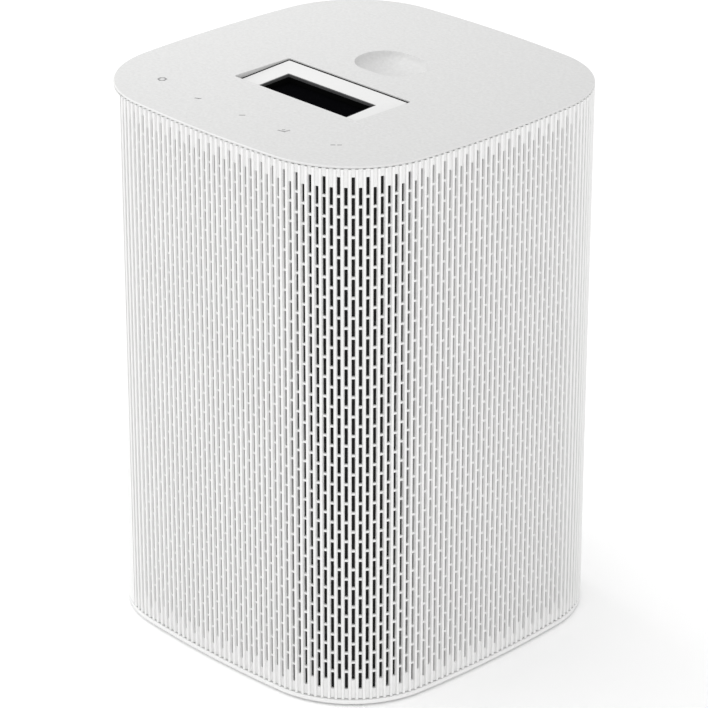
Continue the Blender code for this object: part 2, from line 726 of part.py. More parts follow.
def build_woofer():
    place = (DRIVER_X, -BOSS_FACE, DRIVER_Z)
    r = WOOFER_RADIUS
    flange = 1.8 * MM
    back = -0.5 * r
    basket = turned("woofer_basket", [
        (r, flange), (r, GAP), (0.87 * r, GAP), (0.52 * r, back), (0.52 * r, back - 1.5 * MM),
        (0.32 * r, back - 1.5 * MM), (0.32 * r, back), (0.46 * r, back), (0.82 * r, -0.02 * r),
        (0.82 * r, flange)], place, "-Y", "dark_plastic", steps=28)
    for i in range(3):
        window = block(f"basket_window_cutter_{i}", (-r, -0.13 * r, -0.42 * r), (r, 0.13 * r, -0.16 * r))
        window.location = place
        window.data.transform(window.matrix_basis.Translation((0, 0, -0.29 * r)))
        window.rotation_mode = "XYZ"
        window.rotation_euler = (math.pi / 2, math.pi * i / 3, 0)
        subtract(basket, window)
    top_plate = back - 1.5 * MM - GAP
    gap_floor = -0.92 * r
    turned("woofer_magnet", [
        (0, back + 0.5 * MM), (0.225 * r, back + 0.5 * MM), (0.225 * r, gap_floor), (0.3 * r, gap_floor),
        (0.3 * r, top_plate), (0.58 * r, top_plate), (0.58 * r, -r), (0, -r)],
        place, "-Y", "steel")
    turned("woofer_cone", [
        (0, -0.2 * r), (0.14 * r, -0.23 * r), (0.26 * r, -0.3 * r), (0.66 * r, -0.03 * r),
        (0.67 * r, -0.055 * r), (0.28 * r, -0.35 * r), (0.28 * r, -0.78 * r), (0.255 * r, -0.78 * r),
        (0.255 * r, -0.34 * r), (0.13 * r, -0.26 * r), (0, -0.23 * r)],
        place, "-Y", "cone_paper", steps=28)
    build_surround("woofer_surround", place, "-Y")


def build_passive():
    place = (DRIVER_X, BOSS_FACE, DRIVER_Z)
    r = WOOFER_RADIUS
    turned("passive_frame", [
        (r, 1.8 * MM), (r, GAP), (0.87 * r, GAP), (0.87 * r, -4 * MM), (0.82 * r, -4 * MM),
        (0.82 * r, 1.8 * MM)], place, "+Y", "dark_plastic", steps=28)
    turned("passive_diaphragm", [
        (0, -0.02 * r), (0.3 * r, -0.03 * r), (0.34 * r, 0.02 * r), (0.66 * r, 0.02 * r),
        (0.66 * r, -0.06 * r), (0.3 * r, -0.09 * r), (0.3 * r, -0.24 * r), (0, -0.24 * r)],
        place, "+Y", "cone_paper", steps=28)
    build_surround("passive_surround", place, "+Y")


def build_tweeters():
    """Two dome tweeters on a baffle; the profile steps from dome to waveguide, flange and motor."""
    face = DEPTH / 2 - BAFFLE_INSET
    z = DECK_TOP + TWEETER_RISE
    baffle = block("tweeter_baffle", (-BAFFLE_HALF_LENGTH, -face, DECK_TOP + GAP),
                   (BAFFLE_HALF_LENGTH, -face + 2 * MM, z + TWEETER_FLANGE + 3 * MM), "dark_plastic",
                   bevel=0.4 * MM)
    for name, x in (("tweeter_left", -TWEETER_X), ("tweeter_right", TWEETER_X)):
        subtract(baffle, rod(name + "_cutter", TWEETER_RADIUS + 2 * GAP, (x, -DEPTH / 2, z), DEPTH / 2, "+Y",
                             sides=32))
        turned(name, [
            (0, 3.4 * MM), (4 * MM, 2.8 * MM), (6.4 * MM, 1 * MM), (8 * MM, 2 * MM),
            (TWEETER_FLANGE, 2 * MM), (TWEETER_FLANGE, GAP), (TWEETER_RADIUS, GAP),
            (TWEETER_RADIUS, -8 * MM), (0, -8 * MM)],
            (x, -face, z), "-Y", "dark_plastic")


# ---------------------------------------------------------------- projection engine

def build_deck():
    for i, (x, y) in enumerate(POSTS):
        rod(f"isolation_pad_{i + 1}", PAD_RADIUS, (x, y, BOX_TOP + GAP), PAD_HEIGHT, "+Z", "rubber")
    loop = round_rect(BOX_LEFT, BOX_RIGHT, -BOX_HALF_DEPTH, BOX_HALF_DEPTH, BOX_CORNER)
    cable_way = circle((BOX_LEFT + BOX_RIGHT) / 2, -BOX_HALF_DEPTH / 2, 8 * MM)
    flat_solid("engine_tray", [loop, cable_way], DECK_BOTTOM, DECK_TOP, "aluminium")


def build_engine():
    housing = block("engine_housing", (ENGINE_LEFT, ENGINE_FRONT, ENGINE_BOTTOM),
                    (ENGINE_RIGHT, ENGINE_BACK, ENGINE_TOP), "dark_plastic", bevel=1.5 * MM)
    collar = rod("engine_collar_tool", LENS_RADIUS + 2 * MM, (0, ENGINE_FRONT + 3 * MM, LENS_Z), 7 * MM,
                 "-Y", sides=28)
    unite(housing, collar)
    bore = rod("engine_bore_cutter", LENS_RADIUS * 0.6, (0, ENGINE_FRONT - 6 * MM, LENS_Z), 16 * MM, "+Y",
               sides=32)
    subtract(housing, bore)
    lens_start = ENGINE_FRONT - 4 * MM - GAP
    r = LENS_RADIUS
    place = (0, lens_start, LENS_Z)
    turned("lens_barrel", [
        (r, 28 * MM), (r, 16 * MM), (r * 0.8, 14 * MM), (r * 0.8, 2.5 * MM), (r, 2.5 * MM), (r, 0),
        (r * 0.5, 0), (r * 0.5, 20 * MM), (r * 0.88, 20 * MM), (r * 0.88, 28 * MM)],
        place, "-Y", "dark_plastic", steps=28)
    turned("projection_lens", [
        (0, 27 * MM), (r * 0.45, 26 * MM), (r * 0.86, 22.6 * MM), (r * 0.86, 20.3 * MM), (0, 20.3 * MM)],
        place, "-Y", "clear_lens", steps=28)


def build_mirror():
    bpy.ops.mesh.primitive_grid_add(x_subdivisions=10, y_subdivisions=6, size=1, location=(0, 0, 0))
    dish = bpy.context.active_object
    for vertex in dish.data.vertices:
        x, y = vertex.co.x * MIRROR_LENGTH, vertex.co.y * MIRROR_WIDTH
        vertex.co = (x, y, (x * x + y * y) / (2 * MIRROR_FOCUS))
    dish.data.shade_smooth()
    shell = dish.modifiers.new("glass", "SOLIDIFY")
    shell.thickness = 2 * MM
    shell.offset = -1
    dish.location = (0, MIRROR_Y, LENS_Z)
    dish.rotation_euler = (MIRROR_TILT, 0, 0)
    settle(dish, "mirror", "mirror_coat")
    inner = MIRROR_LENGTH / 2 + 2 * MM
    outer = inner + 4 * MM
    start = ENGINE_FRONT - GAP
    middle = MIRROR_Y - 4 * MM
    front = MIRROR_Y - 9.5 * MM
    bracket = [
        (outer, start), (inner, start), (inner, middle), (-inner, middle),
        (-inner, start), (-outer, start), (-outer, front), (outer, front),
    ]
    flat_solid("mirror_bracket", [bracket], LENS_Z - 2 * MM, LENS_Z + 2 * MM, "aluminium")


def build_heat_sink():
    base_front = ENGINE_BACK + GAP
    base_back = base_front + 3 * MM
    tip = DEPTH / 2 - 8 * MM
    spacing = (2 * SINK_HALF_LENGTH - FIN_THICKNESS) / (SINK_FINS - 1)
    outline = [(SINK_HALF_LENGTH, base_front), (-SINK_HALF_LENGTH, base_front)]
    for i in range(SINK_FINS):
        left = -SINK_HALF_LENGTH + i * spacing
        right = left + FIN_THICKNESS
        if i:
            outline.append((left, base_back))
        outline += [(left, tip), (right, tip)]
        if i < SINK_FINS - 1:
            outline.append((right, base_back))
    flat_solid("heat_sink", [outline], ENGINE_BOTTOM + 6 * MM, ENGINE_TOP - 6 * MM, "aluminium")


def build_fan():
    half = FAN_SIZE / 2
    bore_start = FAN_LEFT + 2 * MM
    frame = block("fan_housing", (FAN_LEFT, -half, FAN_Z - half), (FAN_RIGHT, half, FAN_Z + half),
                  "dark_plastic", bevel=1 * MM)
    subtract(frame, rod("fan_bore_cutter", FAN_BORE_RADIUS, (FAN_LEFT - 1 * MM, 0, FAN_Z),
                        FAN_THICKNESS + 2 * MM, "+X", sides=48))
    for i in range(2):
        strut = block(f"fan_strut_tool_{i}", (0, -FAN_BORE_RADIUS - 0.5 * MM, -1.2 * MM),
                      (1.8 * MM, FAN_BORE_RADIUS + 0.5 * MM, 1.2 * MM))
        strut.location += Vector((FAN_LEFT + 0.1 * MM, 0, FAN_Z))
        strut.rotation_euler = (math.pi / 4 + math.pi / 2 * i, 0, 0)
        unite(frame, strut)
    unite(frame, rod("fan_hub_tool", FAN_HUB_RADIUS * 0.8, (FAN_LEFT + 0.05 * MM, 0, FAN_Z), 2 * MM, "+X"))
    bearing_outer = 2.6 * MM
    bearing_inner = SHAFT_RADIUS + RUNNING_CLEARANCE
    subtract(frame, rod("fan_bearing_cutter", bearing_outer + 2 * RUNNING_CLEARANCE,
                        (FAN_LEFT - 1 * MM, 0, FAN_Z), 4 * MM, "+X", sides=24))
    turned("fan_bearing", [
        (bearing_outer, 8 * MM), (bearing_outer, 0), (bearing_inner, 0), (bearing_inner, 8 * MM)],
        (FAN_LEFT + 0.2 * MM, 0, FAN_Z), "+X", "steel", steps=24)
    place = (bore_start, 0, FAN_Z)
    depth = FAN_THICKNESS - 3 * MM
    cup_floor = depth - 2 * MM
    hole = SHAFT_RADIUS + GAP
    rotor = turned("fan_rotor", [
        (FAN_HUB_RADIUS, depth), (FAN_HUB_RADIUS, 0.6 * MM), (FAN_HUB_RADIUS - 1.5 * MM, 0.6 * MM),
        (FAN_HUB_RADIUS - 1.5 * MM, cup_floor), (hole, cup_floor), (hole, depth)],
        place, "+X", "dark_plastic")
    span = FAN_BORE_RADIUS - 1 * MM
    for i in range(FAN_BLADES):
        blade = block(f"fan_blade_tool_{i}", (-4.2 * MM, -0.5 * MM, FAN_HUB_RADIUS - 1 * MM),
                      (4.2 * MM, 0.5 * MM, span))
        middle = (FAN_HUB_RADIUS - 1 * MM + span) / 2
        blade.data.transform(blade.matrix_basis.Translation((0, 0, middle)))
        blade.data.transform(blade.matrix_basis.Rotation(math.radians(35), 4, "Z"))
        blade.location = (bore_start + depth / 2 + 0.3 * MM, 0, FAN_Z)
        blade.rotation_euler = (2 * math.pi * i / FAN_BLADES, 0, 0)
        unite(rotor, blade)
    rod("fan_shaft", SHAFT_RADIUS, (FAN_LEFT + 0.6 * MM, 0, FAN_Z), depth + 1 * MM, "+X", "steel", sides=24)


# ---------------------------------------------------------------- electronics and ports

def build_boards():
    board_half = DEPTH / 2 - BOARD_SIDE_INSET
    board = block("main_board", (BOARD_LEFT, -board_half, BOX_BOTTOM + 4 * MM),
                  (BOARD_RIGHT, board_half, ENGINE_TOP - 4 * MM), "board")
    chip_x = BOARD_RIGHT + 2.2 * MM
    for i, (y, z) in enumerate(((-20 * MM, DECK_TOP + 10 * MM), (14 * MM, DECK_TOP + 34 * MM))):
        chip = block(f"board_chip_tool_{i}", (BOARD_LEFT + 0.4 * MM, y - 7 * MM, z - 7 * MM),
                     (chip_x, y + 7 * MM, z + 7 * MM))
        unite(board, chip)
    for i, (y, z) in enumerate(BOARD_FIXINGS):
        subtract(board, rod(f"board_hole_cutter_{i}", SCREW_RADIUS + GAP, (BOARD_LEFT - 3 * MM, y, z),
                            9 * MM, "+X", sides=16))
        turned(f"board_screw_{i + 1}", [
            (0, 1.6 * MM), (SCREW_RADIUS, 1.2 * MM), (SCREW_HEAD_RADIUS, 0.8 * MM), (SCREW_HEAD_RADIUS, 0),
            (SCREW_RADIUS, 0), (SCREW_RADIUS, -6 * MM), (0, -6 * MM)],
            (BOARD_LEFT - GAP, y, z), "-X", "steel", steps=12)
    can_x = BOARD_RIGHT + GAP
    block("shield_can", (can_x, -16 * MM, DRIVER_Z - 15 * MM), (can_x + 3 * MM, 16 * MM, DRIVER_Z + 15 * MM),
          "steel", bevel=0.5 * MM)
    power_z = DECK_TOP + 3 * MM
    power = block("power_board", (ENGINE_LEFT, -34 * MM, power_z), (ENGINE_RIGHT, 0, power_z + 1.6 * MM),
                  "board")
    for i, x in enumerate((-24 * MM, -10 * MM, 4 * MM)):
        unite(power, rod(f"capacitor_tool_{i}", 5 * MM, (x, -14 * MM, power_z + 0.8 * MM), 12 * MM, "+Z"))
    inside = power_z + 0.8 * MM
    unite(power, block("choke_tool", (16 * MM, -24 * MM, inside), (28 * MM, -10 * MM, power_z + 9 * MM)))
    unite(power, block("standoff_tool", (-6 * MM, -30 * MM, DECK_TOP + GAP), (6 * MM, -24 * MM, inside)))


def build_ports():
    half = PORT_ROW_WIDTH / 2 + PORT_PLATE_RIM
    bottom = PORT_ROW_BOTTOM - PORT_PLATE_RIM
    top = PORT_ROW_BOTTOM + PORT_ROW_LENGTH + PORT_PLATE_RIM
    plate = block("port_plate", (PLATE_LEFT, -half, bottom), (PLATE_RIGHT, half, top), "dark_plastic")
    mouth = PLATE_LEFT + 0.4 * MM
    seat = BOARD_LEFT - GAP

    def socket(name, z, width, height, finish):
        half_y, half_z = width / 2, height / 2
        subtract(plate, block(name + "_port_cutter", (PLATE_LEFT - 2 * MM, -half_y - GAP, z - half_z - GAP),
                              (PLATE_RIGHT + 2 * MM, half_y + GAP, z + half_z + GAP)))
        return block(name, (mouth, -half_y, z - half_z), (seat, half_y, z + half_z), finish)

    dc_z = PORT_ROW_BOTTOM + 9 * MM
    dc = socket("dc_inlet", dc_z, 9 * MM, 11 * MM, "dark_plastic")
    subtract(dc, rod("dc_bore_cutter", 3.2 * MM, (mouth - 1 * MM, 0, dc_z), 6.5 * MM, "+X"))
    unite(dc, rod("dc_pin_tool", 0.8 * MM, (mouth + 6 * MM, 0, dc_z), 5 * MM, "-X", sides=12))

    usb_z = PORT_ROW_BOTTOM + 23 * MM
    usb = socket("usb_socket", usb_z, 3.6 * MM, 9.4 * MM, "steel")
    subtract(usb, block("usb_mouth_cutter", (mouth - 1 * MM, -1.4 * MM, usb_z - 4.3 * MM),
                        (mouth + 5 * MM, 1.4 * MM, usb_z + 4.3 * MM)))
    unite(usb, block("usb_tongue_tool", (mouth + 1 * MM, -0.35 * MM, usb_z - 3.3 * MM),
                     (mouth + 5.5 * MM, 0.35 * MM, usb_z + 3.3 * MM)))

    hdmi_z = PORT_ROW_BOTTOM + 40 * MM
    hdmi = socket("hdmi_socket", hdmi_z, 5.8 * MM, 15.6 * MM, "steel")
    subtract(hdmi, block("hdmi_mouth_cutter", (mouth - 1 * MM, -2.3 * MM, hdmi_z - 7.2 * MM),
                         (mouth + 5 * MM, 2.3 * MM, hdmi_z + 7.2 * MM)))
    unite(hdmi, block("hdmi_tongue_tool", (mouth + 1 * MM, -0.5 * MM, hdmi_z - 5.5 * MM),
                      (mouth + 5.5 * MM, 0.5 * MM, hdmi_z + 5.5 * MM)))

    button_z = PORT_ROW_BOTTOM + 58 * MM
    subtract(plate, rod("button_cutter", BUTTON_RADIUS + GAP, (PLATE_LEFT - 2 * MM, 0, button_z), 6 * MM,
                        "+X"))
    switch_depth = 1.7 * MM
    block("power_switch", (seat - switch_depth, -3 * MM, button_z - 3 * MM),
          (seat, 3 * MM, button_z + 3 * MM), "dark_plastic", bevel=0.3 * MM)
    flange_face = -(PLATE_RIGHT + GAP)
    stem_end = -(seat - switch_depth - GAP - BUTTON_TRAVEL)
    turned("power_button", [
        (0, -PLATE_LEFT + 0.7 * MM), (BUTTON_RADIUS - 0.6 * MM, -PLATE_LEFT + 0.6 * MM),
        (BUTTON_RADIUS, -PLATE_LEFT), (BUTTON_RADIUS, flange_face), (BUTTON_RADIUS + 1.2 * MM, flange_face),
        (BUTTON_RADIUS + 1.2 * MM, flange_face - 1 * MM), (1.5 * MM, flange_face - 1 * MM),
        (1.5 * MM, stem_end), (0, stem_end)],
        (0, 0, button_z), "-X", "white_plastic", steps=28)


build_sleeve()
build_liner()
build_port_panel()
build_base()
build_top_cover()
build_window()
build_touch_keys()
build_speaker_box()
build_woofer()
build_passive()
build_tweeters()
build_deck()
build_engine()
build_mirror()
build_heat_sink()
build_fan()
build_boards()
build_ports()
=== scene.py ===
import json
import math

import bmesh
import bpy
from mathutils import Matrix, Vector


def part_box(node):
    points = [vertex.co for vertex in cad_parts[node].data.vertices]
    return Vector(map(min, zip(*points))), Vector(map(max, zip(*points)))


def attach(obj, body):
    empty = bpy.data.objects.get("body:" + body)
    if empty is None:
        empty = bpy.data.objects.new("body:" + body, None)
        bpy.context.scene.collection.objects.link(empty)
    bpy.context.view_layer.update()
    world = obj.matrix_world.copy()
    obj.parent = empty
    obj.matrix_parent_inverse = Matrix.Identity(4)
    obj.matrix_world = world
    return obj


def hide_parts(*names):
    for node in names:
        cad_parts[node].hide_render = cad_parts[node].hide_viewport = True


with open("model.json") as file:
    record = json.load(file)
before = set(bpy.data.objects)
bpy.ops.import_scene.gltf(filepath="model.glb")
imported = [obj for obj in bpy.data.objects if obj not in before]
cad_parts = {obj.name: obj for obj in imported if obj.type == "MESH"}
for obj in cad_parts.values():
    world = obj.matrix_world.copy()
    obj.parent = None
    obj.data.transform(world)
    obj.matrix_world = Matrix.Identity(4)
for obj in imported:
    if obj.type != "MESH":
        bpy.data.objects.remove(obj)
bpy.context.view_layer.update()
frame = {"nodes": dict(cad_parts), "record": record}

MM = 0.001

# Seven outer pieces are rebuilt here as finer meshes. The others keep their CAD shape and get a material.

# ---------------------------------------------------------------- sizes, from the frame where it has them

SLEEVE_LOW, SLEEVE_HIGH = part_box("grille_sleeve")
COVER_LOW, COVER_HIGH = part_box("top_cover")
BASE_LOW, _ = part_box("base_tray")
LINER_LOW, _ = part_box("dust_liner")
_, FOOT_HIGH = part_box("foot_ring")
TRAY_LOW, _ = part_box("window_tray")
SEAL_LOW, SEAL_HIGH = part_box("window_seal")
PANEL_LOW, PANEL_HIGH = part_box("port_panel")
PORTS_LOW, PORTS_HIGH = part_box("port_plate")

WIDTH = COVER_HIGH.x - COVER_LOW.x
DEPTH = COVER_HIGH.y - COVER_LOW.y
HEIGHT = COVER_HIGH.z
GAP = 0.3 * MM

# Housing outline: a square with round corners and gently bowed sides
CORNER_RADIUS = 37.5 * MM
SIDE_RADIUS = 430 * MM
CORNER_STEPS = 24
SIDE_STEPS = 16

# Ribs, grooves and slots of the sleeve; the shares are of one rib pitch
SLEEVE_WALL = LINER_LOW.y - SLEEVE_LOW.y - GAP
LINER_WALL = 0.6 * MM
RIB_PITCH = 2.43 * MM
RIB_SHARE = 0.55
GRILLE_END_ANGLE = math.radians(111)
CREST_SHARE = 0.21
CREST_ROUND = 0.45 * MM
CREST_STEPS = 5
GROOVE_DEPTH = 0.9 * MM
SHOULDER_DEPTH_SHARE = 0.82
BEND_WAY_SHARE = 0.4
BEND_DEPTH_SHARE = 0.97
SLOT_SHARE = 0.235
SLOT_CORNER = 0.2 * MM
SLOTS_PER_COLUMN = 26
SLOT_PERIOD = 7.11 * MM
SLOT_LENGTH = 6.32 * MM
FIRST_SLOT_DROPS = (2.9 * MM, 6.5 * MM)

# Top cover
INNER_INSET = SLEEVE_WALL + GAP + LINER_WALL + GAP
EDGE_ROUND = 0.4 * MM
EDGE_STEPS = 4
TOP_EDGE = 0.8 * MM
UNDERCUT_INSET = 0.4 * MM
UNDERCUT_LIP = 0.06 * MM
UNDERCUT_RISE = 0.3 * MM
COVER_UNDERSIDE = HEIGHT - 3.2 * MM
SKIRT_WALL = 2 * MM
RIM_FILLET = 0.12 * MM
WINDOW_LENGTH = 59.4 * MM
WINDOW_WIDTH = 25.6 * MM
WINDOW_Y = -15 * MM
WINDOW_CORNER = 0.8 * MM
DISH_RADIUS = 10.6 * MM
DISH_HALF_STRETCH = 3.1 * MM
DISH_DEPTH = 4.6 * MM
DISH_WALL = 1.6 * MM
DISH_X = -1.2 * MM
DISH_Y = 19.2 * MM
DISH_LIFT = 0.25 * MM
DISH_STEPS = 40
DISH_LEVELS = 9
DISH_LAST_ANGLE = math.radians(84)
CREASE_HALF_LENGTH = 50 * MM
CREASE_HALF_WIDTH = 0.4 * MM
CREASE_DEPTH = 0.2 * MM
CREASE_GAP = 1.1 * MM
CREASE_STEPS = 24

# Window tray and seal; TRAY_WALL is the flange's reach and thickness, and the shaft's wall
TRAY_DROP_FRONT = 1.7 * MM
TRAY_DROP_BACK = 0.4 * MM
TRAY_GAP = 0.9 * MM
TRAY_EDGE = 0.08 * MM
TRAY_CORNER = 0.3 * MM
TRAY_WALL = 2 * MM
TRAY_HOPPER = 0.35 * MM
# Depth and wall clearance of the near-black sheet that paints the shadow in the tray's gap
SHADE_SHEET_DROP = 0.12 * MM
SHADE_SHEET_SEAM = 0.02 * MM
COLLAR_DROP = 0.12 * MM
COLLAR_EDGE = 0.1 * MM
COLLAR_INSET = 0.04 * MM
COLLAR_HEIGHT = 0.9 * MM
COLLAR_WALL = 0.55 * MM
WELL_INSET = 0.24 * MM
OPENING_X = (SEAL_LOW.x + SEAL_HIGH.x) / 2
OPENING_Y = (SEAL_LOW.y + SEAL_HIGH.y) / 2
OPENING_LENGTH = SEAL_HIGH.x - SEAL_LOW.x + 2 * GAP
OPENING_WIDTH = SEAL_HIGH.y - SEAL_LOW.y + 2 * GAP
OPENING_CORNER = 0.3 * MM

# Port panel and the recess round the port row; EDGE_TURN is the share of an edge at its middle point
PANEL_STATIONS = 96
PANEL_EDGE = 0.25 * MM
EDGE_TURN = 0.3
RECESS_RIM = 3 * MM
RECESS_CORNER_SHARE = 0.6
CHAMFER_GROW = 0.9 * MM
CHAMFER_DEPTH = 0.35 * MM
CUTTER_LEAD = 1 * MM
CUTTER_REACH = 6 * MM

# Base and foot
RIM_BOTTOM = BASE_LOW.z
RIM_TOP = RIM_BOTTOM + 1.6 * MM
FLOOR_TOP = RIM_TOP + 2 * MM
SKIRT_HEIGHT = 5 * MM
FOOT_INSET = 7 * MM
FOOT_WIDTH = 6 * MM
FOOT_EDGE = 0.3 * MM
SCREW_COUNT = 4
SCREW_HEAD_ROOM = 1.5 * MM
SCREW_HOLE_SHARE = 0.56
HOLE_SIDES = 28
CUT_PAST = 2 * MM

# Touch marks
MARK_XS = (-44.2 * MM, -22 * MM, 0, 20 * MM, 41 * MM)
MARK_INSETS = (22.4 * MM, 18.8 * MM, 18.8 * MM, 18.8 * MM, 22.4 * MM)
MARK_TURN = math.radians(45)
MARK_RISE = 0.03 * MM
MARK_LINE = 0.6 * MM


# ---------------------------------------------------------------- outlines

def housing_arcs():
    """Arcs (centre x, centre y, radius, start angle, end angle) from the middle of the +X side."""
    lean_x = SIDE_RADIUS - WIDTH / 2
    lean_y = SIDE_RADIUS - DEPTH / 2
    half_gap = math.hypot(lean_x, lean_y) / 2
    rise = math.sqrt((SIDE_RADIUS - CORNER_RADIUS) ** 2 - half_gap ** 2)
    corner_x = -lean_x / 2 + rise * lean_y / (2 * half_gap)
    corner_y = -lean_y / 2 + rise * lean_x / (2 * half_gap)
    low = math.atan2(corner_y, corner_x + lean_x)
    high = math.atan2(corner_y + lean_y, corner_x)
    turn = math.pi
    return [
        (-lean_x, 0, SIDE_RADIUS, 0, low),
        (corner_x, corner_y, CORNER_RADIUS, low, high),
        (0, -lean_y, SIDE_RADIUS, high, turn - high),
        (-corner_x, corner_y, CORNER_RADIUS, turn - high, turn - low),
        (lean_x, 0, SIDE_RADIUS, turn - low, turn + low),
        (-corner_x, -corner_y, CORNER_RADIUS, turn + low, turn + high),
        (0, lean_y, SIDE_RADIUS, turn + high, 2 * turn - high),
        (corner_x, -corner_y, CORNER_RADIUS, 2 * turn - high, 2 * turn - low),
        (-lean_x, 0, SIDE_RADIUS, 2 * turn - low, 2 * turn),
    ]


ARCS = housing_arcs()
PERIMETER = sum(radius * (end - start) for _, _, radius, start, end in ARCS)


def outline_point(distance, inset=0.0):
    """Point of the housing outline at a distance along it, moved inwards by an inset."""
    left = distance % PERIMETER
    for cx, cy, radius, start, end in ARCS:
        length = radius * (end - start)
        if left <= length:
            break
        left -= length
    angle = start + left / radius
    reach = radius - inset
    return cx + reach * math.cos(angle), cy + reach * math.sin(angle)


def distance_at(angle):
    """Distance along the outline at which its normal points to an angle."""
    total = 0.0
    for _, _, radius, start, end in ARCS:
        if angle <= end:
            return total + radius * (angle - start)
        total += radius * (end - start)
    return total


def housing_loop(inset):
    points = []
    side_span = 2 * ARCS[0][4]
    for cx, cy, radius, start, end in ARCS:
        corner = radius == CORNER_RADIUS
        steps = CORNER_STEPS if corner else max(1, round(SIDE_STEPS * (end - start) / side_span))
        for i in range(steps):
            angle = start + (end - start) * i / steps
            reach = radius - inset
            points.append((cx + reach * math.cos(angle), cy + reach * math.sin(angle)))
    return points


def round_rect(x0, x1, y0, y1, radius, steps):
    """Round-cornered rectangle, anticlockwise from the +X +Y corner."""
    points = []
    for x, y, quarter in ((x1, y1, 0), (x0, y1, 1), (x0, y0, 2), (x1, y0, 3)):
        cx = x - radius if x == x1 else x + radius
        cy = y - radius if y == y1 else y + radius
        for i in range(steps + 1):
            angle = math.pi / 2 * (quarter + i / steps)
            points.append((cx + radius * math.cos(angle), cy + radius * math.sin(angle)))
    return points


def stadium(radius):
    """Outline of the dish at one of its levels."""
    points = []
    for i in range(DISH_STEPS):
        angle = 2 * math.pi * (i + 0.5) / DISH_STEPS
        stretch = math.copysign(DISH_HALF_STRETCH, math.cos(angle))
        points.append((DISH_X + stretch + radius * math.cos(angle), DISH_Y + radius * math.sin(angle)))
    return points


COLUMNS_PER_QUARTER = round(PERIMETER / 4 / RIB_PITCH)
PITCH = PERIMETER / 4 / COLUMNS_PER_QUARTER
CORNER_DISTANCE = PERIMETER / 8
LAST_RIB = CORNER_DISTANCE + PITCH * math.floor((distance_at(GRILLE_END_ANGLE) - CORNER_DISTANCE) / PITCH)
GRILLE_END = LAST_RIB + PITCH * RIB_SHARE / 2


# ---------------------------------------------------------------- meshes and objects

def finish_mesh(shape, name, angle=32):
    """Turn a bmesh into a shaded object at the origin."""
    bmesh.ops.remove_doubles(shape, verts=shape.verts, dist=1e-7)
    bmesh.ops.recalc_face_normals(shape, faces=shape.faces)
    mesh = bpy.data.meshes.new(name)
    shape.to_mesh(mesh)
    shape.free()
    flat = [polygon.index for polygon in mesh.polygons if not polygon.use_smooth]
    mesh.shade_smooth()
    mesh.set_sharp_from_angle(angle=math.radians(angle))
    for index in flat:
        mesh.polygons[index].use_smooth = False
    obj = bpy.data.objects.new(name, mesh)
    bpy.context.scene.collection.objects.link(obj)
    return obj


def add_ring(shape, points, level):
    """A ring of vertices; level is a height or a function of x and y."""
    height = level if callable(level) else lambda x, y: level
    return [shape.verts.new((x, y, height(x, y))) for x, y in points]


def bridge(shape, first, second, smooth=True, slot=0):
    """Quads between two closed rings of the same length, in one of the piece's material slots."""
    for i in range(len(first)):
        j = (i + 1) % len(first)
        face = shape.faces.new((first[i], first[j], second[j], second[i]))
        face.smooth = smooth
        face.material_index = slot


def close_rings(shape, rings, dark=()):
    """Bridge each ring to the next and the last to the first; the pairs in dark take the second slot."""
    for i, (first, second) in enumerate(zip(rings, rings[1:] + rings[:1])):
        bridge(shape, first, second, slot=int(i in dark))


def fill_between(shape, loops):
    """Flat faces inside the first loop and outside the others."""
    edges = []
    for loop in loops:
        for i, vertex in enumerate(loop):
            pair = (vertex, loop[(i + 1) % len(loop)])
            edges.append(shape.edges.get(pair) or shape.edges.new(pair))
    made = bmesh.ops.triangle_fill(shape, use_beauty=True, use_dissolve=False, edges=edges)
    for item in made["geom"]:
        if isinstance(item, bmesh.types.BMFace):
            item.smooth = False


def lathe(shape, profile, sides, x, y):
    """Turn a profile of (radius, height) points about the upright line at x, y; zero radii close it."""
    rings = []
    for radius, level in profile:
        if radius == 0:
            rings.append([shape.verts.new((x, y, level))])
            continue
        ring = []
        for i in range(sides):
            angle = 2 * math.pi * i / sides
            ring.append(shape.verts.new((x + radius * math.cos(angle), y + radius * math.sin(angle), level)))
        rings.append(ring)
    for first, second in zip(rings, rings[1:]):
        if len(first) > 1 and len(second) > 1:
            bridge(shape, first, second)
            continue
        tip, ring = (first[0], second) if len(first) == 1 else (second[0], first)
        for i in range(len(ring)):
            shape.faces.new((tip, ring[i], ring[(i + 1) % len(ring)])).smooth = True


def cut(obj, cutter):
    """Take a cutter's shape out of an object for good."""
    boolean = obj.modifiers.new("cut", "BOOLEAN")
    boolean.operation = "DIFFERENCE"
    boolean.object = cutter
    bpy.context.view_layer.update()
    mesh = bpy.data.meshes.new_from_object(obj.evaluated_get(bpy.context.evaluated_depsgraph_get()))
    obj.modifiers.clear()
    old = obj.data
    obj.data = mesh
    bpy.data.meshes.remove(old)
    bpy.data.objects.remove(cutter)


def place_piece(obj, body, material, slot, *nodes):
    """Give a piece its material and body, and let it stand for CAD nodes."""
    if material:
        obj.data.materials.clear()
        obj.data.materials.append(material)
    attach(obj, body)
    if nodes:
        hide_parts(*nodes)


# ---------------------------------------------------------------- materials

